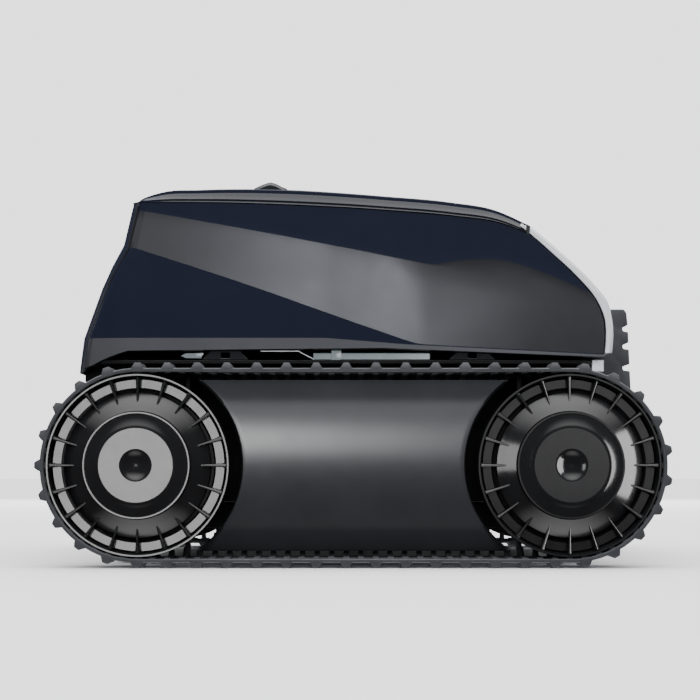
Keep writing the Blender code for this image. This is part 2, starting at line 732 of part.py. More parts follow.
def make_power_button():
    """The fin-shaped power button, which stands through the lid and is pressed down."""
    rear, front = BUTTON_X
    fin = [(rear, BUTTON_BASE_Z), (rear, BUTTON_FLANK_Z["rear"])]
    fin += [(rear + ahead, BUTTON_PEAK_Z - drop) for ahead, drop in BUTTON_CREST]
    fin += [(front, BUTTON_FLANK_Z["front"]), (front, BUTTON_BASE_Z)]
    button = prism("power_button", fin, -BUTTON_HALF_WIDTH, BUTTON_HALF_WIDTH)
    return finish_piece(button, "power_button", "silver")


def make_bumper():
    """The rubber bumper in front, with three round notches and a foot that meets the hull."""
    foot = HULL_HALF_LENGTH + GAP
    outline = [(foot, BUMPER_BOTTOM_Z), (BUMPER_FACE_X, BUMPER_BOTTOM_Z)]
    for height in NOTCH_HEIGHTS:
        outline.append((BUMPER_FACE_X, height - NOTCH_RADIUS))
        outline += arc((BUMPER_FACE_X - NOTCH_DEPTH, height), NOTCH_RADIUS, 270, 90, NOTCH_STEPS)
        outline.append((BUMPER_FACE_X, height + NOTCH_RADIUS))
    outline += [(BUMPER_FACE_X, BUMPER_TOP_Z - PAST), (BUMPER_FACE_X - PAST, BUMPER_TOP_Z)]
    outline += [(BUMPER_BACK_X, BUMPER_TOP_Z), (BUMPER_BACK_X, BUMPER_FOOT_TOP_Z), (foot, BUMPER_FOOT_TOP_Z)]
    bumper = prism("front_bumper", outline, -BUMPER_HALF_WIDTH, BUMPER_HALF_WIDTH)
    return finish_piece(bumper, "front_bumper", "hull")


def make_chin():
    """The silver strip under the visor, fixed to the deck's front edge."""
    bottom, top = CHIN_Z
    low, high = (DECK_FRONT_X + GAP, -CHIN_HALF_WIDTH, bottom), (CHIN_FRONT_X, CHIN_HALF_WIDTH, top)
    return finish_piece(box("visor_chin", low, high), "visor_chin", "silver")


def make_carry_handle():
    """A grab bar across the rear face, standing off it on two short legs."""
    curve = bpy.data.curves.new("carry_handle", "CURVE")
    curve.dimensions = "3D"
    curve.bevel_depth = HANDLE_RADIUS
    curve.bevel_resolution = 1
    curve.use_fill_caps = True
    route = HANDLE_LEG + [(x, -y) for x, y in reversed(HANDLE_LEG)]
    spline = curve.splines.new("POLY")
    spline.points.add(len(route) - 1)
    for point, (x, y) in zip(spline.points, route):
        point.co = (x, y, HANDLE_Z, 1)
    return finish_piece(welded(mesh_object("carry_handle", curve)), "carry_handle", "hull")


def make_hood_bracket(end):
    """A slotted bracket that stands on the deck and is fixed inside the hood's hem."""
    middle, name = BRACKET_X[end], f"right_{end}_hood_bracket"
    foot_half, neck_half, slot_half, slot_margin = 0.0165, 0.0105, 0.0030, 0.0012
    foot_z, neck_z, top_z = DECK_Z[1] + GAP, 0.1515, HOOD_SHOULDER_Z - WALL - GAP
    right = [(middle + foot_half, foot_z), (middle + neck_half, neck_z), (middle + neck_half, top_z)]
    outline = right + [(2 * middle - x, z) for x, z in reversed(right)]
    inner, outer = BRACKET_Y
    bracket = prism(name, outline, -outer, -inner)
    slot_low = (middle - slot_half, -outer - PAST, foot_z + slot_margin)
    cut(bracket, box(f"{name}_slot", slot_low, (middle + slot_half, PAST - inner, neck_z - slot_margin)))
    return finish_piece(bracket, name, "side")


def make_side_rail():
    """The light strip that stands on the deck's edge, seen between the hood and the track."""
    inner, outer = RAIL_Y
    low, high = (RAIL_X[0], -outer, DECK_Z[1] + GAP), (RAIL_X[1], -inner, RAIL_TOP_Z)
    return finish_piece(box("right_side_rail", low, high), "right_side_rail", "silver")


# ---------------------------------------------------------------- inside the hull


BASKET_X = (-0.040, 0.110)
BASKET_HALF_WIDTH = 0.115
BASKET_TOP_Z = 0.2250
BASKET_WALL = 0.002
BASKET_CUT_ABOVE = 0.018
INLET_CUT_ABOVE = 0.010
CRADLE_HALF_LENGTH = 0.0110
CRADLE_Y = (0.0850, 0.1050)
CRADLE_BELOW_AXLE = 0.004
TRAY_X = (-0.1600, -0.1080)
TRAY_HALF_WIDTH = 0.130
TRAY_Z = 0.0862
TRAY_THICKNESS = 0.0023
TRAY_LEG_Y = (0.054, 0.057)
BATTERY_HALF_WIDTH = 0.110
CONTROL_BOX_X = (0.1180, 0.1600)
CONTROL_BOX_HALF_WIDTH = 0.090
EQUIPMENT_TOP_Z = 0.1250


def make_filter_basket():
    """The open-topped basket above the suction slot, which lifts out when the lid is open."""
    (rear, front), half, wall = BASKET_X, BASKET_HALF_WIDTH, BASKET_WALL
    bottom = FLOOR_Z + PAST
    basket = box("filter_basket", (rear, -half, bottom), (front, half, BASKET_TOP_Z))
    hollow_low = (rear + wall, wall - half, bottom + wall)
    hollow_high = (front - wall, half - wall, BASKET_TOP_Z + BASKET_CUT_ABOVE)
    cut(basket, box("basket_hollow", hollow_low, hollow_high))
    inlet_low = (-SUCTION_HALF_LENGTH, -SUCTION_HALF_WIDTH, HULL_BOTTOM_Z)
    inlet_high = (SUCTION_HALF_LENGTH, SUCTION_HALF_WIDTH, FLOOR_Z + INLET_CUT_ABOVE)
    cut(basket, box("basket_inlet", inlet_low, inlet_high))
    return finish_piece(basket, "filter_basket", "mesh")


def make_drive_motor():
    """The sealed gear motor that turns the rear axle on its own side."""
    start = (WHEEL_X["rear"], -DRIVE_MOTOR_INNER_Y, AXLE_Z)
    length = COLLAR_Y[0] - 2 * GAP - DRIVE_MOTOR_INNER_Y
    motor = cylinder("right_drive_motor", DRIVE_MOTOR_RADIUS, start, length, (0, -1, 0))
    return finish_piece(motor, "right_drive_motor", "steel")


def make_motor_cradle():
    """The saddle on the hull's raised floor that holds a drive motor."""
    x, half, (inner, outer) = WHEEL_X["rear"], CRADLE_HALF_LENGTH, CRADLE_Y
    name = "right_motor_cradle"
    top = AXLE_Z - CRADLE_BELOW_AXLE
    cradle = box(name, (x - half, -outer, STEP_FLOOR_Z + GAP), (x + half, -inner, top))
    cut(cradle, across(f"{name}_seat", DRIVE_MOTOR_RADIUS + GAP, x, AXLE_Z, TRACK_OUTER_Y))
    return finish_piece(cradle, name, "hull")


def make_pump_motor():
    start = (PUMP_X, 0, FLOOR_Z + GAP)
    motor = cylinder("pump_motor", PUMP_MOTOR_RADIUS, start, PUMP_MOTOR_LENGTH, (0, 0, 1))
    return finish_piece(motor, "pump_motor", "steel")


def make_impeller():
    """A six-bladed impeller on the pump motor's shaft."""
    hub_radius, hub_length, disc_height = 0.0060, 0.0200, 0.0025
    blade_half, blade_height = (0.0225, 0.0009), 0.0110
    hub_z = FLOOR_Z + 2 * GAP + PUMP_MOTOR_LENGTH
    impeller = cylinder("impeller", hub_radius, (PUMP_X, 0, hub_z), hub_length, (0, 0, 1), SHAFT_SIDES)
    join(impeller, cylinder("disc", IMPELLER_RADIUS, (PUMP_X, 0, IMPELLER_DISC_Z), disc_height, (0, 0, 1)))
    for number in range(3):
        reach, half = blade_half
        blade = box(f"blade_{number}", (-reach, -half, 0), (reach, half, blade_height))
        blade.rotation_euler = (0, 0, math.radians(60 * number))
        blade.location += Vector((PUMP_X, 0, IMPELLER_DISC_Z))
        join(impeller, blade)
    return finish_piece(impeller, "impeller", "wheel")


def make_electronics():
    """The battery on its tray, and the control box on the raised floor in front."""
    rear, front = TRAY_X
    half, top = TRAY_HALF_WIDTH, TRAY_Z + TRAY_THICKNESS
    tray = box("equipment_tray", (rear, -half, TRAY_Z), (front, half, top))
    for side in (-1, 1):
        inner, outer = sorted(side * y for y in TRAY_LEG_Y)
        low = (rear, inner, STEP_FLOOR_Z + GAP)
        join(tray, box(f"tray_leg_{side}", low, (-HULL_KEEL_HALF_LENGTH - WALL, outer, TRAY_Z + PAST)))
    finish_piece(tray, "equipment_tray", "hull")
    half = BATTERY_HALF_WIDTH
    battery = box("battery_pack", (rear, -half, top + GAP), (front, half, EQUIPMENT_TOP_Z))
    finish_piece(battery, "battery_pack", "side")
    (rear, front), half = CONTROL_BOX_X, CONTROL_BOX_HALF_WIDTH
    control = box("control_box", (rear, -half, STEP_FLOOR_Z + GAP), (front, half, EQUIPMENT_TOP_Z))
    finish_piece(control, "control_box", "hull")


# ---------------------------------------------------------------- assembly


def make_running_gear():
    """Both sides: the right-hand pieces, then their mirror images, with each wheel set on its axis."""
    fixed = [make_track(), make_track_frame(), make_side_cover(), make_side_rail()]
    fixed += [make_drive_motor(), make_motor_cradle()]
    for end in WHEEL_X:
        fixed += [make_bearing(end), make_hood_bracket(end), make_brush_hanger(end)]
    for piece in fixed:
        mirrored(piece)
    for end, x in WHEEL_X.items():
        right = [make_wheel(end), make_hub_cap(end), make_axle(end)]
        left = [mirrored(piece) for piece in right]
        pivot(f"right_{end}_wheel_axis", (x, -TRACK_OUTER_Y, AXLE_Z), *right)
        pivot(f"left_{end}_wheel_axis", (x, TRACK_OUTER_Y, AXLE_Z), *left)


def make_body():
    make_hull()
    make_deck()
    make_hood()
    make_visor()
    make_chin()
    make_bumper()
    make_carry_handle()
    make_hinge_pin()
    pivot("lid_axis", (LID_HINGE[0], 0, LID_HINGE[1]), make_lid(), make_power_button())
    for end, x in BRUSH_X.items():
        make_brush_pin(end)
        pivot(f"{end}_brush_axis", (x, 0, BRUSH_Z), make_brush(end))


def make_equipment():
    make_filter_basket()
    make_electronics()
    make_pump_motor()
    pivot("impeller_axis", (PUMP_X, 0, 0), make_impeller())


make_running_gear()
make_body()
make_equipment()
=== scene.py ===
"""The looks of the tracked pool-cleaning robot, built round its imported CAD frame.

Metres, +X to the robot's front, -Y to its right, which faces the camera, and +Z up.
Pieces on the sides are modelled on the right and mirrored to the left. The hood's outlines follow the CAD
hood's, with more points where the facets need them.
"""

import json
import math

import bmesh
import bpy
import numpy as np
from mathutils import Matrix, Vector

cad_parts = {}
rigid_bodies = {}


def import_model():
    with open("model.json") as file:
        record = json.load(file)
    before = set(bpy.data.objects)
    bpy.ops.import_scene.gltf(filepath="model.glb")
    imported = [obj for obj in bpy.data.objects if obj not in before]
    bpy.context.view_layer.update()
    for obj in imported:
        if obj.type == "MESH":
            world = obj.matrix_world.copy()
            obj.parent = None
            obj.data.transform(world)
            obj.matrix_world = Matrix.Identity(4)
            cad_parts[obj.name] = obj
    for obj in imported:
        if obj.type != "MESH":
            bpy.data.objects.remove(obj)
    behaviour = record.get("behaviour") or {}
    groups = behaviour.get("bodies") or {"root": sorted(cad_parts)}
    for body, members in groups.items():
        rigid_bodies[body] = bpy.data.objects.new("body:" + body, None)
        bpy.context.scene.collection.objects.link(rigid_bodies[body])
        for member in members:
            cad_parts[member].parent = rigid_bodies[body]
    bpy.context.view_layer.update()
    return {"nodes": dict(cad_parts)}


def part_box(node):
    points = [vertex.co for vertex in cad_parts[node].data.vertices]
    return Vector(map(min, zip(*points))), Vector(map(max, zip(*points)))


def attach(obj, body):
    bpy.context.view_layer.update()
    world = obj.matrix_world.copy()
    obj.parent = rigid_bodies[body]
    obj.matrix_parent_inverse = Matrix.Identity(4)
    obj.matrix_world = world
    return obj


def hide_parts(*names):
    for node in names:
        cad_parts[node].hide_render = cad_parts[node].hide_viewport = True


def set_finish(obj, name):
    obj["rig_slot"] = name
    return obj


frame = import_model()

NODES = frame["nodes"]
SIDES = {"right": -1, "left": 1}
ENDS = {"rear": -1, "front": 1}

# ---------------------------------------------------------------- sizes

WHEEL_LOW, WHEEL_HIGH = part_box("right_front_wheel")
TRACK_LOW, TRACK_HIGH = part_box("right_track")
AXLE_Z = (WHEEL_LOW.z + WHEEL_HIGH.z) / 2
WHEEL_X = (WHEEL_LOW.x + WHEEL_HIGH.x) / 2
WHEEL_RADIUS = (WHEEL_HIGH.x - WHEEL_LOW.x) / 2
WHEEL_INNER_Y = -WHEEL_HIGH.y
RIM_FACE_Y = 0.1980
TRACK_OUTER_Y = -TRACK_LOW.y
TRACK_INNER_Y = -TRACK_HIGH.y

STEPS_BETWEEN_WHEELS = 29
STEPS_ROUND_WHEEL = 40
TRACK_STEPS = 2 * STEPS_BETWEEN_WHEELS + STEPS_ROUND_WHEEL
PITCH = 2 * WHEEL_X / STEPS_BETWEEN_WHEELS
BELT_OUTER_RADIUS = 0.0670
BELT_INNER_RADIUS = 0.0643
LUG_TIP_RADIUS = 0.0708
TOOTH_TIP_RADIUS = 0.0578

RIB_COUNT = 20
HUB_RADIUS = 0.0368

# Hood outlines in side view: rear and front as (height, x), and the lines along its side as (x, height)
HOOD_REAR = [(0.130, -0.195), (0.160, -0.192), (0.202, -0.176), (0.224, -0.1635), (0.256, -0.1575)]
HOOD_FRONT = [(0.130, 0.1800), (0.175, 0.1830), (0.186, 0.1805), (0.204, 0.1665)]
HOOD_FRONT += [(0.221, 0.1488), (0.237, 0.1308), (0.246, 0.1195), (0.250, 0.1140)]
HEM = [(-0.200, 0.1325), (-0.175, 0.1460), (-0.160, 0.1515), (0.020, 0.1535), (0.200, 0.1460)]
SKIRT = [(-0.200, 0.1607), (-0.020, 0.1607), (0.037, 0.1560), (0.200, 0.1475)]
BAND_BOTTOM = [(-0.200, 0.2390), (-0.158, 0.2255), (-0.085, 0.2018)]
BAND_BOTTOM += [(0.019, 0.1652), (0.040, 0.1580), (0.200, 0.1490)]
BAND_TOP = [(-0.200, 0.2600), (-0.154, 0.2523), (0.019, 0.2206), (0.105, 0.2019), (0.200, 0.1745)]
SCOOP_TOP = [(-0.200, 0.2601), (0.055, 0.2135), (0.080, 0.2168)]
SCOOP_TOP += [(0.105, 0.2165), (0.134, 0.2077), (0.200, 0.1760)]
SEAM = [(-0.200, 0.2580), (-0.075, 0.2573), (0.019, 0.2530)]
SEAM += [(0.070, 0.2485), (0.105, 0.2430), (0.130, 0.2330)]
LID_TOP = [(-0.160, 0.2555), (-0.1557, 0.2585), (-0.136, 0.2665), (-0.110, 0.2683), (-0.055, 0.2690)]
LID_TOP += [(0.019, 0.2645), (0.070, 0.2595), (0.100, 0.2540), (0.130, 0.2400)]
HEM_HALF_WIDTH = 0.1680
SKIRT_LEAN, LOWER_LEAN, BAND_LEAN, SCOOP_LEAN, UPPER_LEAN = 0.36, 0.02, 0.24, 0.13, 0.02
NOSE_LEAN_LOSS = 0.09
NOSE_START_X, NOSE_LENGTH = 0.030, 0.10
LINE_GAP = 0.0006
CORNER_RADIUS = 0.010
HOOD_WALL = 0.0025
VISOR_DEPTH = 0.0062
VISOR_SLOPE_GAIN = 0.3
VISOR_GAP = 0.0004
VISOR_NOSE_Z = (0.175, 0.186)
VISOR_BOTTOM_Z, VISOR_TOP_Z = 0.1500, 0.2412
LID_FRONT_X = 0.1232

# ---------------------------------------------------------------- materials


def node(tree, kind, **settings):
    made = tree.nodes.new(kind)
    for key, value in settings.items():
        setattr(made, key, value)
    return made


def noise(tree, coords, scale, detail=3.0):
    made = node(tree, "ShaderNodeTexNoise")
    made.inputs["Scale"].default_value = scale
    made.inputs["Detail"].default_value = detail
    tree.links.new(coords, made.inputs["Vector"])
    return made.outputs["Fac"]


def spread(tree, value, low, high, start=0.3, end=0.7):
    """Maps a value from one range to another."""
    made = node(tree, "ShaderNodeMapRange")
    for key, number in (("From Min", start), ("From Max", end), ("To Min", low), ("To Max", high)):
        made.inputs[key].default_value = number
    tree.links.new(value, made.inputs["Value"])
    return made.outputs["Result"]


def blended(tree, factor, first, second):
    made = node(tree, "ShaderNodeMix", data_type="RGBA")
    made.inputs["A"].default_value = (*first, 1)
    made.inputs["B"].default_value = (*second, 1)
    tree.links.new(factor, made.inputs["Factor"])
    return made.outputs["Result"]


TONE_SCALE = 35
GLOSS_SCALE = 140
COAT_ROUGHNESS = 0.08


def surface(name, colours, roughness, grain, relief, metallic=0.0, coat=0.0, stretch=(1, 1, 1)):
    """A moulded, painted or metal finish: fine grain in its relief, broad patches in tone and gloss.

    colours and roughness are (low, high) pairs, grain is a noise scale per metre,
    relief is the grain's depth in metres, and stretch squeezes the grain along an axis.
    """
    made = bpy.data.materials.new(name)
    made.use_nodes = True
    tree = made.node_tree
    shader = tree.nodes["Principled BSDF"]
    shader.inputs["Metallic"].default_value = metallic
    shader.inputs["Coat Weight"].default_value = coat
    shader.inputs["Coat Roughness"].default_value = COAT_ROUGHNESS
    coords = node(tree, "ShaderNodeTexCoord").outputs["Object"]
    mapping = node(tree, "ShaderNodeMapping")
    mapping.inputs["Scale"].default_value = stretch
    tree.links.new(coords, mapping.inputs["Vector"])
    broad = noise(tree, coords, TONE_SCALE)
    fine = noise(tree, mapping.outputs["Vector"], grain, 4.0)
    tree.links.new(blended(tree, spread(tree, broad, 0, 1), *colours), shader.inputs["Base Color"])
    tree.links.new(spread(tree, noise(tree, coords, GLOSS_SCALE), *roughness), shader.inputs["Roughness"])
    bump = node(tree, "ShaderNodeBump")
    bump.inputs["Strength"].default_value = 1.0
    bump.inputs["Distance"].default_value = relief
    tree.links.new(fine, bump.inputs["Height"])
    tree.links.new(bump.outputs["Normal"], shader.inputs["Normal"])
    return made


MATERIALS = {
    "rubber": surface(
        "tread_rubber",
        ((0.050, 0.052, 0.058), (0.074, 0.077, 0.086)),
        roughness=(0.45, 0.62), grain=1400, relief=0.00010,
    ),
    "gloss": surface(
        "wheel_gloss_black",
        ((0.0100, 0.0102, 0.0114), (0.0135, 0.0138, 0.0154)),
        roughness=(0.13, 0.16), grain=400, relief=0.0000012,
    ),
    "cover": surface(
        "cover_gloss_grey",
        ((0.020, 0.021, 0.024), (0.024, 0.025, 0.029)),
        roughness=(0.29, 0.32), grain=400, relief=0.0000020,
    ),
    "navy": surface(
        "hood_metallic_navy",
        ((0.0140, 0.0172, 0.0335), (0.0152, 0.0187, 0.0360)),
        roughness=(0.21, 0.23), grain=400, relief=0.0000015,
    ),
    # Painted highlight: a lighter copy of the hood paint, on the facets the band card lights.
    "band": surface(
        "hood_satin_band",
        ((0.034, 0.036, 0.042), (0.039, 0.041, 0.048)),
        roughness=(0.25, 0.27), grain=600, relief=0.000004,
        metallic=0.5,
    ),
    "trim": surface(
        "lid_satin_grey",
        ((0.020, 0.022, 0.026), (0.025, 0.027, 0.031)),
        roughness=(0.24, 0.28), grain=400, relief=0.000003,
        metallic=0.2,
    ),
    "black": surface(
        "fine_textured_black",
        ((0.007, 0.007, 0.008), (0.011, 0.012, 0.013)),
        roughness=(0.42, 0.58), grain=1800, relief=0.00005,
    ),
    "silver": surface(
        "satin_silver",
        ((0.62, 0.66, 0.70), (0.70, 0.74, 0.78)),
        roughness=(0.28, 0.36), grain=900, relief=0.000006,
        metallic=0.2,
        stretch=(1, 12, 1),
    ),
    "steel": surface(
        "turned_steel",
        ((0.42, 0.42, 0.43), (0.55, 0.55, 0.56)),
        roughness=(0.22, 0.38), grain=1200, relief=0.000006,
        metallic=1.0,
        stretch=(1, 10, 1),
    ),
    "filter": surface(
        "filter_moulding",
        ((0.08, 0.085, 0.09), (0.11, 0.12, 0.13)),
        roughness=(0.50, 0.65), grain=1500, relief=0.00005,
    ),
    "lens": surface(
        "clear_grey_lens",
        ((0.22, 0.26, 0.28), (0.28, 0.32, 0.34)),
        roughness=(0.12, 0.18), grain=500, relief=0.000004,
        coat=0.5,
    ),
}
SPECULAR_LEVELS = {"navy": 0.16, "trim": 0.22, "band": 0.4}
for finish, level in SPECULAR_LEVELS.items():
    MATERIALS[finish].node_tree.nodes["Principled BSDF"].inputs["Specular IOR Level"].default_value = level
SLOTS = {
    "rubber": "track_rubber",
    "gloss": "wheel_plastic",
    "cover": "side_plastic",
    "navy": "hood_paint",
    "band": "hood_paint",
    "trim": "hood_paint",
    "black": "hull_plastic",
    "silver": "silver_trim",
    "steel": "steel",
    "filter": "filter_plastic",
    "lens": "side_plastic",
}

# ---------------------------------------------------------------- mesh helpers

SAME_POINT = 0.000002


def new_mesh(name, points, faces):
    mesh = bpy.data.meshes.new(name)
    mesh.from_pydata([tuple(point) for point in points], [], faces)
    shape = bmesh.new()
    shape.from_mesh(mesh)
    bmesh.ops.remove_doubles(shape, verts=shape.verts, dist=SAME_POINT)
    bmesh.ops.dissolve_degenerate(shape, edges=shape.edges, dist=SAME_POINT)
    bmesh.ops.recalc_face_normals(shape, faces=shape.faces)
    shape.to_mesh(mesh)
    shape.free()
    obj = bpy.data.objects.new(name, mesh)
    bpy.context.scene.collection.objects.link(obj)
    return obj


def grid_faces(rows, columns, wrap_columns=False, wrap_rows=False):
    """Quads between rows of points that are listed row by row."""
    faces = []
    for row in range(rows if wrap_rows else rows - 1):
        above = (row + 1) % rows
        for column in range(columns if wrap_columns else columns - 1):
            beside = (column + 1) % columns
            corners = (row, column), (row, beside), (above, beside), (above, column)
            faces.append([r * columns + c for r, c in corners])
    return faces


def bevel(obj, width, segments=2, angle=30):
    made = obj.modifiers.new("soft_edges", "BEVEL")
    made.width = width
    made.segments = segments
    made.limit_method = "ANGLE"
    made.angle_limit = math.radians(angle)
    return obj


def thicken(obj, thickness):
    """Gives a skin its thickness, inwards."""
    made = obj.modifiers.new("wall", "SOLIDIFY")
    made.thickness = thickness
    made.offset = -1
    made.use_even_offset = False
    return obj


def apply_modifiers(obj):
    bpy.context.view_layer.update()
    graph = bpy.context.evaluated_depsgraph_get()
    mesh = bpy.data.meshes.new_from_object(obj.evaluated_get(graph))
    obj.modifiers.clear()
    obj.data = mesh


def shaded(obj, angle):
    obj.data.shade_smooth()
    obj.data.set_sharp_from_angle(angle=math.radians(angle))


def dress(obj, body, finish, *replaced, angle=35):
    """Bakes a piece's modifiers, shades it, gives it its finish, and puts it on its body."""
    apply_modifiers(obj)
    if not obj.data.materials:
        obj.data.materials.append(MATERIALS[finish])
    shaded(obj, angle)
    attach(obj, body)
    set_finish(obj, SLOTS[finish])
    if replaced:
        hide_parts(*replaced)


def left_copy(obj, body, *replaced):
    """The mirror image of a dressed right-hand piece."""
    mesh = obj.data.copy()
    mesh.transform(Matrix.Diagonal((1, -1, 1, 1)))
    mesh.flip_normals()
    made = bpy.data.objects.new(obj.name.replace("right", "left"), mesh)
    bpy.context.scene.collection.objects.link(made)
    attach(made, body)
    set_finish(made, obj["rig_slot"])
    if replaced:
        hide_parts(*replaced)


def turned(name, profile, x, steps=120):
    """A closed turned solid about the axle line at x, from (radius, outward distance) points."""
    points = []
    for step in range(steps):
        turn = 2 * math.pi * step / steps
        points += [(x + r * math.cos(turn), -y, AXLE_Z + r * math.sin(turn)) for r, y in profile]
    return new_mesh(name, points, grid_faces(steps, len(profile), True, True))


def rounded(corner, size, start, end, steps=4):
    """Points round a convex or hollow corner in a profile, from start to end degrees."""
    angles = [math.radians(start + (end - start) * i / steps) for i in range(steps + 1)]
    return [(corner[0] + size * math.cos(a), corner[1] + size * math.sin(a)) for a in angles]


def block(name, outline, low, high):
    """A closed (x, z) outline filled from low to high along Y."""
    points = [(x, level, z) for level in (low, high) for x, z in outline]
    count = len(outline)
    faces = [list(range(count)), list(range(count, 2 * count))]
    faces += [[i, (i + 1) % count, (i + 1) % count + count, i + count] for i in range(count)]
    return new_mesh(name, points, faces)


def capped(faces, ring, rings):
    """Adds the two end faces to a tube of rings of points."""
    last = ring * (rings - 1)
    return faces + [list(range(ring)), list(range(last, last + ring))]


def joined(name, pieces):
    """One object from several, which are removed."""
    shape = bmesh.new()
    for piece in pieces:
        shape.from_mesh(piece.data)
        bpy.data.objects.remove(piece, do_unlink=True)
    mesh = bpy.data.meshes.new(name)
    shape.to_mesh(mesh)
    shape.free()
    obj = bpy.data.objects.new(name, mesh)
    bpy.context.scene.collection.objects.link(obj)
    return obj


def smooth_line(points):
    """A smooth curve through points with rising first values, as a function."""
    xs, ys = np.array(points, float).T
    slopes = np.gradient(ys, xs)

    def value(x):
        x = float(np.clip(x, xs[0], xs[-1]))
        i = int(np.clip(np.searchsorted(xs, x) - 1, 0, len(xs) - 2))
        width = xs[i + 1] - xs[i]
        t = (x - xs[i]) / width
        rise = (2 * t**3 - 3 * t**2 + 1) * ys[i] + (3 * t**2 - 2 * t**3) * ys[i + 1]
        return rise + width * ((t**3 - 2 * t**2 + t) * slopes[i] + (t**3 - t**2) * slopes[i + 1])

    return value


def straight_line(points):
    xs, ys = zip(*points)
    return lambda x: float(np.interp(x, xs, ys))


# ---------------------------------------------------------------- tracks


def track_point(step, radius):
    """The point `step` tooth pitches round the track from the rear wheel's lowest point."""
    straight, around = STEPS_BETWEEN_WHEELS, STEPS_ROUND_WHEEL / 2
    step %= TRACK_STEPS
    if step <= straight:
        return -WHEEL_X + step * PITCH, AXLE_Z - radius
    if step <= straight + around:
        angle = math.pi * ((step - straight) / around - 0.5)
        return WHEEL_X + radius * math.cos(angle), AXLE_Z + radius * math.sin(angle)
    if step <= 2 * straight + around:
        return WHEEL_X - (step - straight - around) * PITCH, AXLE_Z + radius
    angle = math.pi * ((step - 2 * straight - around) / around + 0.5)
    return -WHEEL_X + radius * math.cos(angle), AXLE_Z + radius * math.sin(angle)


def belt_skin():
    """The plain belt, with chamfered edges and a shallow groove along the middle of its outer face."""
    inner, outer = TRACK_INNER_Y, TRACK_OUTER_Y
    middle, chamfer, groove = (inner + outer) / 2, 0.0006, 0.0015
    low, high = BELT_INNER_RADIUS, BELT_OUTER_RADIUS
    floor = high - 0.0008
    section = [(outer - chamfer, low), (outer, low + chamfer), (outer, high - chamfer)]
    section += [(outer - chamfer, high), (middle + groove, high), (middle + groove / 2, floor)]
    section += [(middle - groove / 2, floor), (middle - groove, high), (inner + chamfer, high)]
    section += [(inner, high - chamfer), (inner, low + chamfer), (inner + chamfer, low)]
    steps = [i / 4 for i in range(4 * TRACK_STEPS)]
    points = []
    for step in steps:
        for y, radius in section:
            x, z = track_point(step, radius)
            points.append((x, -y, z))
    return new_mesh("belt_skin", points, grid_faces(len(steps), len(section), True, True))


def ridge(step, levels, y_low, y_high):
    """One lug or tooth across the belt.

    Its levels are (half width in steps, radius, outer inset, inner inset).
    """
    points = []
    for half, radius, outer_inset, inner_inset in levels:
        near, far = y_low + inner_inset, y_high - outer_inset
        for side, y in ((-1, near), (1, near), (1, far), (-1, far)):
            x, z = track_point(step + side * half, radius)
            points.append((x, -y, z))
    faces = capped(grid_faces(len(levels), 4, wrap_columns=True), 4, len(levels))
    return new_mesh("ridge", points, faces)


SUNK = 0.0004
LUG_SPLIT = 0.0018
LUG = [(0.42, BELT_OUTER_RADIUS - SUNK, 0, 0), (0.30, 0.0688, 0.0003, 0.0003)]
LUG += [(0.17, LUG_TIP_RADIUS, 0.0008, 0.0008)]
TOOTH = [(0.214, BELT_INNER_RADIUS + SUNK, 0, 0), (0.205, 0.0636, 0.0002, 0.0002)]
TOOTH += [(0.200, 0.0635, 0.0345, 0.0003), (0.140, TOOTH_TIP_RADIUS, 0.0355, 0.0006)]


def make_tracks():
    """Each belt with a split lug on every second pitch and a tooth on every pitch."""
    split = (TRACK_INNER_Y + TRACK_OUTER_Y) / 2
    pieces = [belt_skin()]
    for step in range(0, TRACK_STEPS, 2):
        for low, high in ((TRACK_INNER_Y, split - LUG_SPLIT), (split + LUG_SPLIT, TRACK_OUTER_Y)):
            pieces.append(ridge(step, LUG, low, high))
    for step in range(TRACK_STEPS):
        pieces.append(ridge(step, TOOTH, TRACK_INNER_Y + 0.0005, TRACK_OUTER_Y - 0.0030))
    track = bevel(joined("right_track_tread", pieces), 0.00035, 2)
    dress(track, "chassis", "rubber", "right_track")
    left_copy(track, "chassis", "left_track")


# ---------------------------------------------------------------- wheels

DISH_INNER = (HUB_RADIUS + 0.0006, 0.2012)
DISH_OUTER = (0.0497, 0.1930)
WELL_FLOOR_Y = 0.1880
WELL_INNER_RADIUS = 0.0537
WELL_OUTER_RADIUS = 0.0594
HUB_BACK_Y = 0.2014


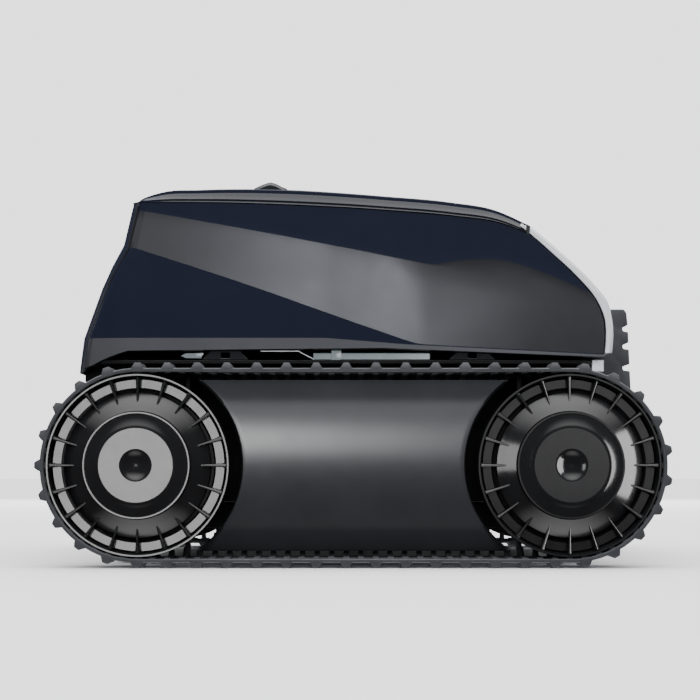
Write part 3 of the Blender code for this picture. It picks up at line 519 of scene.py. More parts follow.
def wheel_profile():
    """From the bore out over the dished face, down the well, round the rim's flat lip and back inside."""
    bore, back = 0.0053, 0.1820
    groove_y, groove_radius, inside_radius = 0.1710, 0.0570, 0.0530
    profile = [(bore, back), (bore, 0.2008), (HUB_RADIUS - 0.001, 0.2008), DISH_INNER]
    for share in (0.25, 0.5, 0.75):
        r = DISH_INNER[0] + share * (DISH_OUTER[0] - DISH_INNER[0])
        y = DISH_INNER[1] + share * (DISH_OUTER[1] - DISH_INNER[1]) + 0.0003 * math.sin(math.pi * share)
        profile.append((r, y))
    edge_round = 0.0006
    profile += rounded((DISH_OUTER[0], DISH_OUTER[1] - edge_round), edge_round, 70, 0, 3)
    profile += [(WELL_INNER_RADIUS - 0.0032, WELL_FLOOR_Y - 0.0010)]
    profile += [(WELL_INNER_RADIUS - 0.0014, WELL_FLOOR_Y - 0.0024)]
    profile += [(WELL_INNER_RADIUS, WELL_FLOOR_Y), (WELL_OUTER_RADIUS, WELL_FLOOR_Y)]
    profile += [(WELL_OUTER_RADIUS + 0.0008, WELL_FLOOR_Y - 0.0014), (0.0608, RIM_FACE_Y - 0.0030)]
    profile += [(0.0616, RIM_FACE_Y - 0.0012), (0.0618, RIM_FACE_Y)]
    profile += [(WHEEL_RADIUS - 0.0003, RIM_FACE_Y), (WHEEL_RADIUS, RIM_FACE_Y - 0.0004)]
    profile += [(WHEEL_RADIUS, RIM_FACE_Y - 0.0030), (WHEEL_RADIUS - 0.0006, RIM_FACE_Y - 0.0036)]
    profile += [(WHEEL_RADIUS - 0.0006, groove_y + 0.0008), (WHEEL_RADIUS, groove_y)]
    profile += [(groove_radius, groove_y), (groove_radius, WHEEL_INNER_Y + 0.0004)]
    profile += [(groove_radius - 0.0004, WHEEL_INNER_Y)]
    profile += [(inside_radius, WHEEL_INNER_Y), (inside_radius, back)]
    return profile


# A rib's (radius, half thickness), from the dish out to the rim
RIB_LINE = [(0.0412, 0.0004), (0.0450, 0.0007), (0.0530, 0.0010)]
RIB_LINE += [(0.0585, 0.0013), (0.0602, 0.0019), (0.0612, 0.0013)]
RIB_TOP_Y = 0.1974


def make_ribs(name, x):
    """Thin gussets, roofed along the top, that run out flush from the dish over the well to the rim."""
    top, bottom = RIB_TOP_Y, WELL_FLOOR_Y - 0.0008
    ribs = []
    for number in range(RIB_COUNT):
        turn = 2 * math.pi * number / RIB_COUNT + math.pi / 2
        along = Vector((math.cos(turn), math.sin(turn)))
        side = Vector((-math.sin(turn), math.cos(turn)))
        points = []
        for radius, half in RIB_LINE:
            eaves = top - half
            roofed = [(-half, bottom), (-half, eaves), (0, top), (half, eaves), (half, bottom)]
            for across, y in roofed:
                flat = along * radius + side * across
                points.append((x + flat.x, -y, AXLE_Z + flat.y))
        faces = capped(grid_faces(len(RIB_LINE), 5, wrap_columns=True), 5, len(RIB_LINE))
        ribs.append(new_mesh("rib", points, faces))
    return bevel(joined(name, ribs), 0.00015, 2)


def hub_profile():
    """The hub cover: a rounded edge, a cone, and a flat face with a round dimple."""
    edge, face, face_radius, dimple = 0.2066, 0.2098, 0.0268, 0.0103
    depth = 0.0034
    bowl_radius = (dimple**2 + depth**2) / (2 * depth)
    centre = 0.0001
    profile = [(centre, HUB_BACK_Y), (centre, face - depth)]
    for share in (0.2, 0.4, 0.6, 0.8, 0.95):
        r = dimple * share
        profile.append((r, face - depth + bowl_radius - math.sqrt(bowl_radius**2 - r**2)))
    profile += [(dimple + 0.0003, face - 0.0001), (dimple + 0.0007, face), (dimple + 0.0012, face)]
    profile += [(face_radius - 0.0016, face), (face_radius - 0.0010, face), (face_radius, face - 0.0002)]
    profile += [(face_radius + 0.0012, face - 0.0007), (HUB_RADIUS - 0.0015, edge - 0.0004)]
    profile += [(HUB_RADIUS - 0.0012, edge - 0.0004), (HUB_RADIUS - 0.0011, edge)]
    profile += [(HUB_RADIUS - 0.0002, edge), (HUB_RADIUS, edge - 0.0003)]
    return profile + [(HUB_RADIUS, HUB_BACK_Y)]


def make_wheels():
    """Each wheel's turned face, its ribs and its hub cover."""
    for end, sign in ENDS.items():
        x, name = sign * WHEEL_X, f"right_{end}"
        body = f"{name}_wheel_set"
        left_body = body.replace("right", "left")
        face = turned(f"{name}_wheel_face", wheel_profile(), x)
        dress(face, body, "gloss", f"{name}_wheel", angle=24)
        left_copy(face, left_body, f"left_{end}_wheel")
        ribs = make_ribs(f"{name}_wheel_ribs", x)
        dress(ribs, body, "gloss", angle=50)
        left_copy(ribs, left_body)
        hub = turned(f"{name}_hub_cover", hub_profile(), x)
        dress(hub, body, "gloss", f"{name}_hub_cap", angle=24)
        left_copy(hub, left_body, f"left_{end}_hub_cap")


# ---------------------------------------------------------------- side covers

COVER_HALF_HEIGHT = 0.0600
COVER_CREST_Y = 0.1900
COVER_EDGE_Y = 0.1735
SCOOP_RADIUS = 0.0722


def make_side_covers():
    """The bulging skin between the wheels, its ends scooped concentric with them."""
    bulge = COVER_CREST_Y - COVER_EDGE_Y
    radius = (COVER_HALF_HEIGHT**2 + bulge**2) / (2 * bulge)
    limit = math.asin(COVER_HALF_HEIGHT / radius)
    rows, columns = 49, 41
    points = []
    for row in range(rows):
        turn = limit * (2 * row / (rows - 1) - 1)
        rise = radius * math.sin(turn)
        y = COVER_CREST_Y - radius + radius * math.cos(turn)
        half = WHEEL_X - math.sqrt(SCOOP_RADIUS**2 - rise**2)
        points += [(half * (2 * c / (columns - 1) - 1), -y, AXLE_Z + rise) for c in range(columns)]
    cover = new_mesh("right_cover_skin", points, grid_faces(rows, columns))
    bevel(thicken(cover, 0.0028), 0.0006, 3, 40)
    dress(cover, "chassis", "cover", "right_side_cover", angle=45)
    left_copy(cover, "chassis", "left_side_cover")
    make_cover_wells()
    make_guide_posts()


def make_cover_wells():
    """The dark curved walls behind the cover's scooped ends, with a raised lip at the front."""
    for end, sign in ENDS.items():
        limit = math.asin(COVER_HALF_HEIGHT * 0.97 / SCOOP_RADIUS)
        near, far = SCOOP_RADIUS - 0.0012, SCOOP_RADIUS + 0.0008
        back, face = 0.1500, 0.1815
        section = [(near, back), (near, face), (SCOOP_RADIUS - 0.0004, face + 0.0007)]
        section += [(far, face), (far, back)]
        steps = 40
        points = []
        for step in range(steps + 1):
            turn = limit * (2 * step / steps - 1)
            for r, y in section:
                points.append((sign * (WHEEL_X - r * math.cos(turn)), -y, AXLE_Z + r * math.sin(turn)))
        count = len(section)
        faces = capped(grid_faces(steps + 1, count, wrap_columns=True), count, steps + 1)
        wall = new_mesh(f"right_{end}_cover_well", points, faces)
        dress(wall, "chassis", "black")
        left_copy(wall, "chassis")


POST_X = 0.1165
POST_START = 0.0535


def make_guide_posts():
    """Small posts that keep the belt off the cover, just inside each wheel, above and below."""
    posts = []
    for sign in ENDS.values():
        for upright in (-1, 1):
            x = sign * POST_X
            near, far = AXLE_Z + upright * POST_START, AXLE_Z + upright * (BELT_INNER_RADIUS - 0.0003)
            outline = [(x - 0.0013, near), (x + 0.0013, near), (x + 0.0022, far), (x - 0.0022, far)]
            posts.append(block("post", outline, -0.1700, -0.1560))
            step_x = x - sign * 0.0085
            start = near + upright * 0.006
            foot = [(step_x - 0.0018, start), (step_x + 0.0018, start)]
            foot += [(step_x + 0.0024, far), (step_x - 0.0024, far)]
            posts.append(block("post_foot", foot, -0.1690, -0.1560))
    guides = bevel(joined("right_belt_guides", posts), 0.0003)
    dress(guides, "chassis", "cover")
    left_copy(guides, "chassis")


# ---------------------------------------------------------------- hood, lid and visor

rear_x = straight_line(HOOD_REAR)
front_x = smooth_line(HOOD_FRONT)
hem_z = straight_line(HEM)
skirt_z = straight_line(SKIRT)
band_bottom_z = smooth_line(BAND_BOTTOM)
band_top_z = smooth_line(BAND_TOP)
scoop_top_z = smooth_line(SCOOP_TOP)
seam_z = smooth_line(SEAM)
lid_top_z = smooth_line(LID_TOP)


def side_lines(x):
    """The heights of the hood's side lines at x, from the hem up, never crossing."""
    heights = [hem_z(x)]
    for line in (skirt_z, band_bottom_z, band_top_z, scoop_top_z, seam_z):
        heights.append(max(line(x), heights[-1] + LINE_GAP))
    return heights


def half_width(x, z):
    """The hood's half width, stepping in by each facet's lean on the way up."""
    lines = side_lines(x)
    width = HEM_HALF_WIDTH
    band_lean = BAND_LEAN - NOSE_LEAN_LOSS * min(max((x - NOSE_START_X) / NOSE_LENGTH, 0), 1)
    leans = (SKIRT_LEAN, LOWER_LEAN, band_lean, SCOOP_LEAN, UPPER_LEAN)
    for low, high, lean in zip(lines, lines[1:], leans):
        width -= lean * min(max(z - low, 0), high - low)
    return width


def visor_back_x(z):
    """Where the hood ends and the visor starts. The visor is deeper on the slope above its nose."""
    low, high = VISOR_NOSE_Z
    slope = min(max((z - low) / (high - low), 0), 1)
    return front_x(z) - VISOR_DEPTH * (1 + VISOR_SLOPE_GAIN * slope)


# How many rows each of the hood's facets has, from the hem up, and the places of four of them
SKIRT_FACET, BAND_FACET, SCOOP_FACET, UPPER_FACET = 0, 2, 3, 4
FACET_SPLITS = (2, 4, 4, 2, 4)
SIDE_COLUMNS = 60
# How many of the scoop's front columns get the painted highlight
SCOOP_HIGHLIGHT_COLUMNS = 30
CORNER_STEPS = 6
TOP_SHARE = 0.985


def hood_row(facet, share):
    """One row of points: from the hood's front edge back along its side, then round and across its rear."""
    points = []

    def height(x):
        lines = side_lines(x)
        return lines[facet] + share * (lines[facet + 1] - lines[facet])

    for column in range(SIDE_COLUMNS + 1):
        t = column / SIDE_COLUMNS
        x = 0.15
        for _ in range(8):
            z = height(x)
            front, rear = visor_back_x(z) - VISOR_GAP, rear_x(z) + CORNER_RADIUS
            x = front + t * (rear - front)
        z = height(x)
        points.append((x, -half_width(x, z), z))
    x, y, z = points[-1]
    for step in range(1, CORNER_STEPS + 1):
        turn = math.radians(90 * step / CORNER_STEPS)
        height_here = z + (height(x - CORNER_RADIUS) - z) * step / CORNER_STEPS
        corner_x = x - CORNER_RADIUS * math.sin(turn)
        points.append((corner_x, y + CORNER_RADIUS * (1 - math.cos(turn)), height_here))
    x, y, z = points[-1]
    for share_across in (0.08, 0.3, 0.6, 1.0):
        bow = 0.0016 * (1 - (1 - share_across) ** 2)
        points.append((x - bow, y * (1 - share_across), z))
    return points


def make_hood():
    """The shell's skin; its skirt, band and scoop front have the paint lighter, as a painted highlight."""
    rows, facets = [], []
    for facet, splits in enumerate(FACET_SPLITS):
        for split in range(splits):
            rows.append(hood_row(facet, split / splits))
            facets.append(facet)
    rows.append(hood_row(UPPER_FACET, TOP_SHARE))
    columns = len(rows[0])
    mesh = bpy.data.meshes.new("hood_skin")
    mesh.from_pydata([point for row in rows for point in row], [], grid_faces(len(rows), columns))
    mesh.materials.append(MATERIALS["navy"])
    mesh.materials.append(MATERIALS["band"])
    # Painted highlight: the faces that get the lighter copy of the paint.
    painted_highlight_columns = {SKIRT_FACET: SIDE_COLUMNS + 2, BAND_FACET: SIDE_COLUMNS + 2, SCOOP_FACET: SCOOP_HIGHLIGHT_COLUMNS}
    for number, face in enumerate(mesh.polygons):
        row, column = divmod(number, columns - 1)
        face.material_index = 1 if column < painted_highlight_columns.get(facets[row], 0) else 0
    hood = bpy.data.objects.new("hood_skin", mesh)
    bpy.context.scene.collection.objects.link(hood)
    both_halves(hood)
    thicken(hood, HOOD_WALL)
    bevel(hood, 0.0005, 2, 40)
    dress(hood, "chassis", "navy", "hood_shell", angle=7)
    make_rear_edge_line()


def both_halves(obj):
    """Mirrors a right half across the middle, with its faces pointing out."""
    shape = bmesh.new()
    shape.from_mesh(obj.data)
    bmesh.ops.recalc_face_normals(shape, faces=shape.faces)
    middle = Vector((0, 0, 0.2))
    outward = 0
    for face in shape.faces:
        outward += 1 if face.normal.dot(face.calc_center_median() - middle) > 0 else -1
    if outward < 0:
        bmesh.ops.reverse_faces(shape, faces=shape.faces)
    shape.to_mesh(obj.data)
    shape.free()
    made = obj.modifiers.new("other_half", "MIRROR")
    made.use_axis = (False, True, False)
    made.use_clip = True
    made.merge_threshold = 0.0001


def make_rear_edge_line():
    """The raised bead down the hood's rear corner, on both sides."""
    heights = [0.1370, 0.1480, 0.1600, 0.1740, 0.1880, 0.2020, 0.2130, 0.2235, 0.2240, 0.2400, 0.2555]
    bead, sides, points = 0.0011, 8, []
    for z in heights:
        x = rear_x(z) + 0.0042
        y = half_width(x, z) - 0.0014
        for turn in range(sides):
            angle = 2 * math.pi * turn / sides
            points.append((x + bead * math.cos(angle), -(y + 0.7 * bead * math.sin(angle)), z))
    faces = capped(grid_faces(len(heights), sides, wrap_columns=True), sides, len(heights))
    bead_piece = new_mesh("right_rear_edge_bead", points, faces)
    dress(bead_piece, "chassis", "trim", angle=60)
    left_copy(bead_piece, "chassis")


# The lid's section: (distance in from the hood's edge, share of the way up to the lid's top line)
LID_SECTION = [(0.0006, 0.00), (-0.0004, 0.03), (0.0008, 0.13), (0.0016, 0.14)]
LID_SECTION += [(0.0016, 0.22), (0.0006, 0.23), (0.0016, 0.34), (0.0019, 0.36)]
LID_SECTION += [(0.0030, 0.52), (0.0044, 0.67), (0.0046, 0.86), (0.0064, 0.93)]
LID_SECTION += [(0.0120, 0.98), (0.0200, 1.00)]
TRIM_ROWS = (1, 5, 7, 8)
LID_CROWN = 0.0080
CROWN_REAR_X = -0.150
CROWN_REAR_FADE = 0.06
CROWN_FRONT_FADE = 0.10
CROWN_FRONT_SHARE = 0.10
CROWN_REAR_SHIFT = 0.03
LID_LEAST_HEIGHT = 0.0012
LID_SIDE_COLUMNS = 54
LID_CORNER_STEPS = 8
TRIM_COLUMNS = 52


def lid_edge():
    """The lid's edge in plan, from its front, back along the side and round to the middle of the rear.

    Each entry is a point and the direction inwards from it.
    """
    edge = []
    columns = LID_SIDE_COLUMNS
    rear = rear_x(seam_z(CROWN_REAR_X))
    for column in range(columns + 1):
        x = LID_FRONT_X + column / columns * (rear + CORNER_RADIUS - LID_FRONT_X)
        edge.append((Vector((x, -half_width(x, seam_z(x)))), Vector((0, 1))))
    centre = edge[-1][0] + Vector((0, CORNER_RADIUS))
    for step in range(1, LID_CORNER_STEPS + 1):
        turn = math.radians(90 * step / LID_CORNER_STEPS)
        direction = Vector((math.sin(turn), math.cos(turn)))
        edge.append((centre - direction * CORNER_RADIUS, direction))
    last = edge[-1][0]
    for share in (0.1, 0.25, 0.45, 0.7, 0.9, 1.0):
        edge.append((Vector((last.x, last.y * (1 - share))), Vector((1, 0))))
    return edge


LID_WALL = 0.0022
LID_INSIDE = [(0.0100, 0.55), (0.0060, 0.30), (0.0034, 0.00)]


def lid_row(edge, inset, share):
    """One row of the lid's side, `inset` from its edge and `share` of the way up to its top line."""
    row = []
    for place, inward in edge:
        spot = place + inward * inset
        low, top = seam_z(spot.x), lid_top_z(spot.x)
        row.append((spot.x, min(spot.y, 0), low + share * max(top - low, LID_LEAST_HEIGHT)))
    return row


def lid_crown_row(rim, share, drop):
    """One row of the lid's crowned top, `share` of the way in from its rim, `drop` below the outside."""
    widest = abs(rim[0][1])
    row = []
    for x, y, z in rim:
        across = y * (1 - share)
        rear_fade = min(1, max(0, (x - CROWN_REAR_X) / CROWN_REAR_FADE))
        front_fade = min(1, CROWN_FRONT_SHARE + max(0, LID_FRONT_X - x) / CROWN_FRONT_FADE)
        rise = LID_CROWN * (1 - (across / widest) ** 2) * rear_fade * math.sin(front_fade * math.pi / 2)
        shift = share * CROWN_REAR_SHIFT * (1 - abs(y) / widest) if x < 0 else 0
        row.append((x + shift, across, lid_top_z(x + shift) + rise - drop))
    return row


def make_lid():
    """A closed shell: the inside from its middle out to the edge, then the stepped outside back in."""
    edge = lid_edge()
    shares = (0.12, 0.3, 0.55, 0.8, 1.0)
    outside = [lid_row(edge, *pair) for pair in LID_SECTION]
    rim = outside[-1]
    rows = [lid_crown_row(rim, share, LID_WALL) for share in reversed(shares)]
    rows += [lid_row(edge, *pair) for pair in LID_INSIDE]
    first_outer = len(rows)
    rows += outside + [lid_crown_row(rim, share, 0) for share in shares]
    columns = len(edge)
    front_cap = [row * columns for row in range(len(rows))]
    faces = grid_faces(len(rows), columns) + [front_cap]
    mesh = bpy.data.meshes.new("lid_skin")
    mesh.from_pydata([point for row in rows for point in row], [], faces)
    mesh.materials.append(MATERIALS["navy"])
    mesh.materials.append(MATERIALS["trim"])
    for number, face in enumerate(mesh.polygons):
        row, column = divmod(number, columns - 1)
        face.material_index = 1 if row - first_outer in TRIM_ROWS and column < TRIM_COLUMNS else 0
    lid = bpy.data.objects.new("lid_skin", mesh)
    bpy.context.scene.collection.objects.link(lid)
    both_halves(lid)
    dress(lid, "lid", "navy", "top_lid", angle=24)


VISOR_LEVELS = 36
VISOR_CORNER_STEPS = 5
VISOR_RECESS = 0.0012
VISOR_WALL = 0.0024


def visor_row(z):
    """One level of the visor: the side flange, a rounded corner and the front face to the middle."""
    back, front = visor_back_x(z) + 0.0006, front_x(z)
    side = half_width(front - 0.01, min(z, seam_z(front - 0.01)))
    corner = 0.0035
    points = [(back, -side + 0.0010, z), (back + 0.0003, -side + 0.0001, z), (front - corner, -side, z)]
    for step in range(1, VISOR_CORNER_STEPS + 1):
        turn = math.radians(90 * step / VISOR_CORNER_STEPS)
        across = -side + corner * (1 - math.cos(turn))
        points.append((front - corner + corner * math.sin(turn), across, z))
    steps_across = [(0.03, 0), (0.06, 0), (0.07, VISOR_RECESS)]
    steps_across += [(share, VISOR_RECESS) for share in (0.3, 0.6, 1.0)]
    for share, recess in steps_across:
        points.append((front - recess, -(side - corner) * (1 - share), z))
    return points


def make_visor():
    """The pale front face, recessed a little inside its border, and its joints with the lid."""
    step = (VISOR_TOP_Z - VISOR_BOTTOM_Z) / VISOR_LEVELS
    rows = [visor_row(VISOR_BOTTOM_Z + i * step) for i in range(VISOR_LEVELS + 1)]
    faces = grid_faces(len(rows), len(rows[0]))
    mesh = bpy.data.meshes.new("visor_skin")
    mesh.from_pydata([point for row in rows for point in row], [], faces)
    visor = bpy.data.objects.new("visor_skin", mesh)
    bpy.context.scene.collection.objects.link(visor)
    both_halves(visor)
    thicken(visor, VISOR_WALL)
    bevel(visor, 0.0004, 2, 50)
    dress(visor, "chassis", "silver", "front_visor", angle=30)
    make_visor_joint()


def make_visor_joint():
    """The dark clip that joins the lid's front end to the visor, on each side."""
    x, z = LID_FRONT_X - 0.0004, 0.2372
    y = half_width(x, seam_z(x)) - 0.004
    outline = [(x - 0.0005, z - 0.0060), (x + 0.0022, z - 0.0062)]
    outline += [(x + 0.0028, z + 0.0035), (x, z + 0.0050)]
    joint = bevel(block("right_visor_joint", outline, -y - 0.0040, -y + 0.010), 0.0004)
    dress(joint, "chassis", "black")
    left_copy(joint, "chassis")


# ---------------------------------------------------------------- gap under the hood, bumper and fin


def make_gap_details():
    """The small pale pieces on the deck's edge: a lens, a wire guide, and the rail's post."""
    deck_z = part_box("hull_deck")[1].z
    edge = -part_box("hull_deck")[0].y
    lens = [(-0.1220, deck_z + 0.0030), (-0.1185, deck_z + 0.0048), (-0.1060, deck_z + 0.0052)]
    lens += [(-0.1075, deck_z + 0.0012), (-0.1185, deck_z + 0.0014)]
    piece = bevel(block("right_marker_lens", lens, -edge, -edge + 0.004), 0.0003)
    dress(piece, "chassis", "lens")
    left_copy(piece, "chassis")
    rear, front, top = -0.0158, -0.0086, deck_z + 0.0068
    outline = [(rear, deck_z), (front, deck_z), (front, top), (rear, top)]
    post = block("right_rail_post", outline, -edge - 0.0003, -edge + 0.004)
    dress(bevel(post, 0.0004), "chassis", "lens")
    left_copy(post, "chassis")
    wire = [(-0.0655, deck_z + 0.0063), (-0.0390, deck_z + 0.0063), (-0.0280, deck_z + 0.0006)]
    path = [(x, z - 0.0003) for x, z in wire] + [(x, z + 0.0003) for x, z in reversed(wire)]
    guide = block("right_wire_guide", path, -edge, -edge + 0.0012)
    dress(guide, "chassis", "silver")
    left_copy(guide, "chassis")


def make_rear_under_panel():
    """The dark panel that closes the chassis below the hood's raised rear hem, between the tracks."""
    rear, front, bottom, half = -0.1912, -0.1610, 0.1300, 0.1500
    outline = [(rear, bottom), (rear, 0.1350), (-0.1750, 0.1460), (front, 0.1510), (front, bottom)]
    panel = bevel(block("rear_under_panel", outline, -half, half), 0.0008)
    dress(panel, "chassis", "black")


BUMPER_FOOT_X = 0.2034
BUMPER_TOP_X = 0.2004
NOTCH_HEIGHTS = (0.1422, 0.1580, 0.1708)
NOTCH_RADIUS = 0.0024
NOTCH_CENTRE_X = 0.1984


def make_bumper():
    """The ribbed rubber bumper: it leans out slightly towards its foot, with three round notches."""
    low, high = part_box("front_bumper")
    back, foot_z, top_z, half = low.x, low.z, high.z, high.y
    face_x = straight_line([(foot_z, BUMPER_FOOT_X), (top_z, BUMPER_TOP_X)])
    outline = [(back, foot_z), (face_x(foot_z), foot_z)]
    notch = NOTCH_RADIUS
    for middle in NOTCH_HEIGHTS:
        outline.append((face_x(middle - notch), middle - notch))
        for turn in (-60, -30, 0, 30, 60):
            a = math.radians(turn)
            outline.append((NOTCH_CENTRE_X - notch * math.cos(a) * 0.6, middle + notch * math.sin(a)))
        outline.append((face_x(middle + notch), middle + notch))
    corner = 0.0025
    outline += [(face_x(top_z) - 0.0005, top_z - corner), (face_x(top_z) - corner, top_z), (back, top_z)]
    ribs = bevel(block("front_bumper_pad", outline, -half, half), 0.0008, 3, 25)
    dress(ribs, "chassis", "rubber", "front_bumper")


def make_fin():
    """The power button: a fin that slopes down to its front and rear, and rounds over to its sides."""
    low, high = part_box("power_button")
    middle = (low.x + high.x) / 2
    half, base = high.y, low.z
    sections = [(low.x, 0.0048), (low.x + 0.0060, 0.0020), (middle - 0.0020, 0.0003)]
    sections += [(middle + 0.0005, 0.0), (middle + 0.0040, 0.0010)]
    sections += [(high.x - 0.0040, 0.0034), (high.x, 0.0050)]
    points = []
    for x, drop in sections:
        top = high.z - drop
        profile = [(-half, base), (-half, top - 0.0034)]
        profile += [(-0.60 * half, top - 0.0006), (-0.25 * half, top)]
        profile += [(-y, z) for y, z in reversed(profile)]
        points += [(x, y, z) for y, z in profile]
    count = len(profile)
    faces = capped(grid_faces(len(sections), count, wrap_columns=True), count, len(sections))
    fin = bevel(new_mesh("power_button_fin", points, faces), 0.0004, 2, 20)
    dress(fin, "button", "trim", "power_button", angle=25)


# ---------------------------------------------------------------- brushes

BRUSH_CORE_RADIUS = 0.0095
BRUSH_BORE = 0.0034
BRUSH_BLADES = 8
BRUSH_STATIONS = 33
BLADE_TWIST = 1.6


def make_brushes():
    """Each roller: a core with curved rubber blades that twist towards both ends."""
    for end in ENDS:
        low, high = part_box(f"{end}_roller_brush")
        x, z = (low.x + high.x) / 2, (low.z + high.z) / 2
        radius, half = (high.x - low.x) / 2, high.y
        core, stations = BRUSH_CORE_RADIUS, BRUSH_STATIONS
        levels = [(core - 0.001, 0, 0.0011), (0.0150, 0.10, 0.0009), (radius - 0.0002, 0.26, 0.0006)]
        pieces = [tube("core", x, z, BRUSH_BORE, core, -half, half)]
        for blade in range(BRUSH_BLADES):
            points = []
            for station in range(stations):
                y = -half + 2 * half * station / (stations - 1)
                turn = 2 * math.pi * blade / BRUSH_BLADES + BLADE_TWIST * abs(y) / half
                for r, lag, half_thick in levels:
                    for side in (-1, 1):
                        a = turn + lag + side * half_thick / r
                        points.append((x + r * math.cos(a), y, z + r * math.sin(a)))
            order = [0, 2, 4, 5, 3, 1]
            points = [points[6 * s + i] for s in range(stations) for i in order]
            faces = capped(grid_faces(stations, 6, wrap_columns=True), 6, stations)
            pieces.append(new_mesh("blade", points, faces))
        brush = joined(f"{end}_brush_roller", pieces)
        dress(brush, f"{end}_brush", "rubber", f"{end}_roller_brush", angle=40)


def tube(name, x, z, inner, outer, low, high):
    """A tube along Y."""
    points, steps = [], 32
    for y, r in ((low, inner), (low, outer), (high, outer), (high, inner)):
        turns = [2 * math.pi * i / steps for i in range(steps)]
        points += [(x + r * math.cos(a), y, z + r * math.sin(a)) for a in turns]
    return new_mesh(name, points, grid_faces(4, steps, True, True))


# ---------------------------------------------------------------- CAD nodes that stay

KEPT = {
    "black": ["hull_tub", "hull_deck", "carry_handle", "equipment_tray", "control_box"],
    "steel": ["lid_hinge_pin", "front_brush_pin", "rear_brush_pin", "pump_motor"],
    "cover": ["battery_pack"],
    "silver": ["visor_chin"],
    "filter": ["filter_basket"],
    "gloss": ["impeller"],
}
KEPT_BOTH_SIDES = {
    "black": ["track_frame", "motor_cradle", "front_brush_hanger", "rear_brush_hanger"],
    "steel": ["drive_motor", "front_axle", "rear_axle", "front_bearing", "rear_bearing"],
    "cover": ["front_hood_bracket", "rear_hood_bracket"],
    "lens": ["side_rail"],
}
SHARP = {"hull_tub", "hull_deck", "filter_basket", "impeller"}


def finish_cad_node(name, finish):
    """Gives a carried-over node its finish, and softens its edges with modifiers."""
    obj = NODES[name]
    obj.data.materials.clear()
    obj.data.materials.append(MATERIALS[finish])
    weld = obj.modifiers.new("weld", "WELD")
    weld.merge_threshold = 0.00001
    bevel(obj, 0.0003 if name in SHARP else 0.0006, 2, 30)
    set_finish(obj, SLOTS[finish])


def finish_cad_nodes():
    for finish, names in KEPT.items():
        for name in names:
            finish_cad_node(name, finish)
    for finish, names in KEPT_BOTH_SIDES.items():
        for name in names:
            for side in SIDES:
                finish_cad_node(f"{side}_{name}", finish)


# ---------------------------------------------------------------- camera, floor and lights

CAMERA_X = -0.0025
CAMERA_DISTANCE = 1.4
PICTURE_WIDTH = 0.48125
HORIZON_DROP = 0.1647
CAMERA_SHIFT = 0.082


def make_camera():
    """Level with the axles on the robot's right; half of the framing is shift and half is tilt."""
    data = bpy.data.cameras.new("camera")
    data.sensor_width = 36
    data.lens = data.sensor_width * CAMERA_DISTANCE / PICTURE_WIDTH
    data.shift_y = CAMERA_SHIFT
    camera = bpy.data.objects.new("camera", data)
    camera.location = (CAMERA_X, -TRACK_OUTER_Y - CAMERA_DISTANCE, AXLE_Z)
    tilt = math.atan((HORIZON_DROP - CAMERA_SHIFT) * data.sensor_width / data.lens)
    camera.rotation_euler = (math.pi / 2 + tilt, 0, 0)
    bpy.context.scene.collection.objects.link(camera)
    bpy.context.scene.camera = camera


def make_floor():
    """A plain pale floor, which reflections and bounced light leave out."""
    half = 9
    corners = [(-half, -half, 0), (half, -half, 0), (half, half, 0), (-half, half, 0)]
    floor = new_mesh("floor", corners, [[0, 1, 2, 3]])
    made = bpy.data.materials.new("pale_floor")
    made.use_nodes = True
    shader = made.node_tree.nodes["Principled BSDF"]
    shader.inputs["Base Color"].default_value = (0.88, 0.88, 0.89, 1)
    shader.inputs["Roughness"].default_value = 0.8
    shader.inputs["Specular IOR Level"].default_value = 0.0
    floor.data.materials.append(made)
    floor.visible_glossy = False
    floor.visible_diffuse = False


def area_light(name, place, target, size, radiance, words, shows):
    """A rectangular light of a given radiance, which the camera doesn't see.

    words limit it to the pieces whose names contain one of them, and an empty list means every piece.
    shows is "glossy", "diffuse" or "both", or "unshaded": diffuse light that only those pieces block.
    """
    data = bpy.data.lights.new(name, "AREA")
    data.shape = "RECTANGLE"
    data.size, data.size_y = size
    data.energy = radiance * math.pi * size[0] * size[1]
    light = bpy.data.objects.new(name, data)
    light.location = place
    light.rotation_euler = (Vector(target) - Vector(place)).to_track_quat("-Z", "Y").to_euler()
    light.visible_camera = False
    light.visible_diffuse = shows != "glossy"
    light.visible_glossy = shows in ("glossy", "both")
    bpy.context.scene.collection.objects.link(light)
    if words:
        lit = bpy.data.collections.new(f"{name}_lights")
        for obj in bpy.data.objects:
            if obj.type == "MESH" and any(word in obj.name for word in words):
                lit.objects.link(obj)
        light.light_linking.receiver_collection = lit
        if shows == "unshaded":
            light.light_linking.blocker_collection = lit


# What a light is limited to, as words in pieces' names
REAR_WHEEL = ("{side}_rear_wheel", "{side}_rear_hub")
FRONT_WHEEL = ("{side}_front_wheel", "{side}_front_hub")
COVERS = ("cover_skin",)
HOOD = ("hood_skin",)
PALE = ("visor", "marker_lens", "rail", "wire_guide")

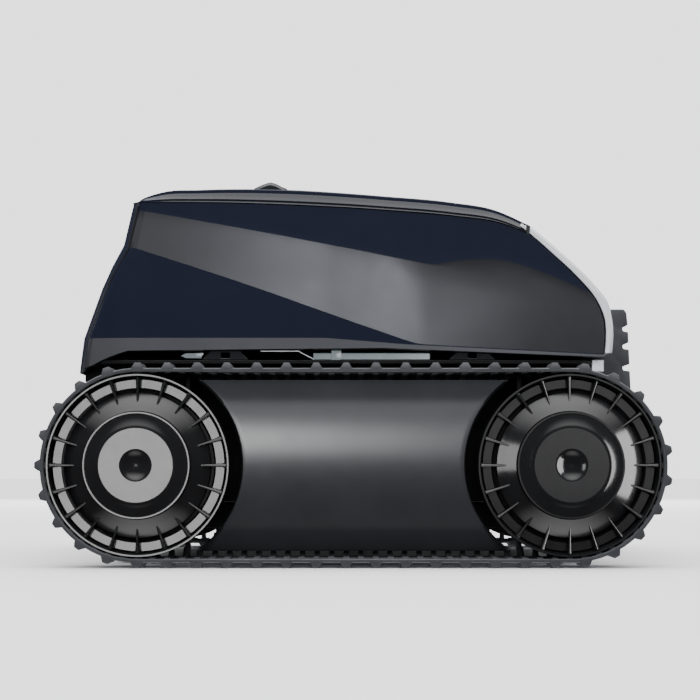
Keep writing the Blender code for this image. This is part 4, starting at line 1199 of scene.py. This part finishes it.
# Each side's lights: name, place, target, size, radiance, pieces, and how it shows. Y is outwards.
SIDE_LIGHTS = [
    ("rear_card", (-0.37, 2.3, 0.06), (-0.149, 0.2, AXLE_Z), (0.52, 0.46), 11, REAR_WHEEL, "glossy"),
    ("front_card", (0.37, 2.3, 0.16), (0.149, 0.2, AXLE_Z), (0.52, 0.32), 1.3, FRONT_WHEEL, "glossy"),
    ("bright_card", (1.29, 0.69, 0.09), (0.19, 0.2, 0.07), (0.92, 1.3), 12, FRONT_WHEEL, "glossy"),
    ("soft_card", (-1.14, 1.04, 0.28), (0.1, 0.2, 0.07), (0.69, 0.7), 6, FRONT_WHEEL, "glossy"),
    ("cover_card", (-0.33, 2.2, 0.76), (-0.06, 0.19, 0.08), (0.54, 0.70), 24, COVERS, "glossy"),
    ("band_card", (0.27, 1.9, 1.25), (0.03, 0.15, 0.20), (0.26, 0.20), 26, HOOD, "glossy"),
    ("cover_fill", (0, 1.3, 1.9), (0, 0.19, AXLE_Z), (1.6, 0.5), 28, COVERS, "unshaded"),
    ("fill", (0, 2.6, 0.72), (0, 0.2, 0.10), (2.4, 0.5), 8, (), "diffuse"),
    ("trim_fill", (0.7, 2.2, 0.30), (0.1, 0.2, 0.18), (1.2, 0.8), 5, PALE, "both"),
]


def make_lights():
    """Cards that the wheels' flats, the covers' bulges and the hood's bands mirror, and soft fills."""
    for side, out in SIDES.items():
        for name, place, target, size, radiance, words, shows in SIDE_LIGHTS:
            place, target = [(x, y * out, z) for x, y, z in (place, target)]
            words = [word.format(side=side) for word in words]
            area_light(f"{side}_{name}", place, target, size, radiance, words, shows)
    for name, sign in (("nose_light", 1), ("tail_light", -1)):
        place, target = (2.1 * sign, 0.0, 0.80), (0.18 * sign, 0, 0.18)
        area_light(name, place, target, (0.9, 0.4), 5, (), "both")


BACKDROP_STRENGTH = 2.3
HORIZON_STRENGTH, OVERHEAD_STRENGTH, UNDERNEATH_STRENGTH = 0.10, 5.0, 3.0


def make_world():
    """A studio dome: bright overhead and underneath, dim at the horizon, and plain pale to the camera."""
    world = bpy.data.worlds.new("studio")
    bpy.context.scene.world = world
    world.use_nodes = True
    tree = world.node_tree
    tree.nodes.clear()
    coords = node(tree, "ShaderNodeTexCoord")
    split = node(tree, "ShaderNodeSeparateXYZ")
    tree.links.new(coords.outputs["Generated"], split.inputs["Vector"])
    lighting = node(tree, "ShaderNodeBackground")
    lighting.inputs["Color"].default_value = (1, 1, 1, 1)
    above = spread(tree, split.outputs["Z"], HORIZON_STRENGTH, OVERHEAD_STRENGTH, 0.52, 0.97)
    below = spread(tree, split.outputs["Z"], UNDERNEATH_STRENGTH, 0.0, -0.97, -0.66)
    both = node(tree, "ShaderNodeMath", operation="ADD")
    tree.links.new(above, both.inputs[0])
    tree.links.new(below, both.inputs[1])
    tree.links.new(both.outputs["Value"], lighting.inputs["Strength"])
    seen = node(tree, "ShaderNodeBackground")
    seen.inputs["Color"].default_value = (1, 1, 1, 1)
    seen.inputs["Strength"].default_value = BACKDROP_STRENGTH
    path = node(tree, "ShaderNodeLightPath")
    mix = node(tree, "ShaderNodeMixShader")
    tree.links.new(path.outputs["Is Camera Ray"], mix.inputs["Fac"])
    tree.links.new(lighting.outputs["Background"], mix.inputs[1])
    tree.links.new(seen.outputs["Background"], mix.inputs[2])
    output = node(tree, "ShaderNodeOutputWorld")
    tree.links.new(mix.outputs["Shader"], output.inputs["Surface"])


# ---------------------------------------------------------------- everything

make_camera()
make_world()
make_floor()
make_tracks()
make_wheels()
make_side_covers()
make_hood()
make_lid()
make_visor()
make_gap_details()
make_rear_under_panel()
make_bumper()
make_fin()
make_brushes()
finish_cad_nodes()
make_lights()
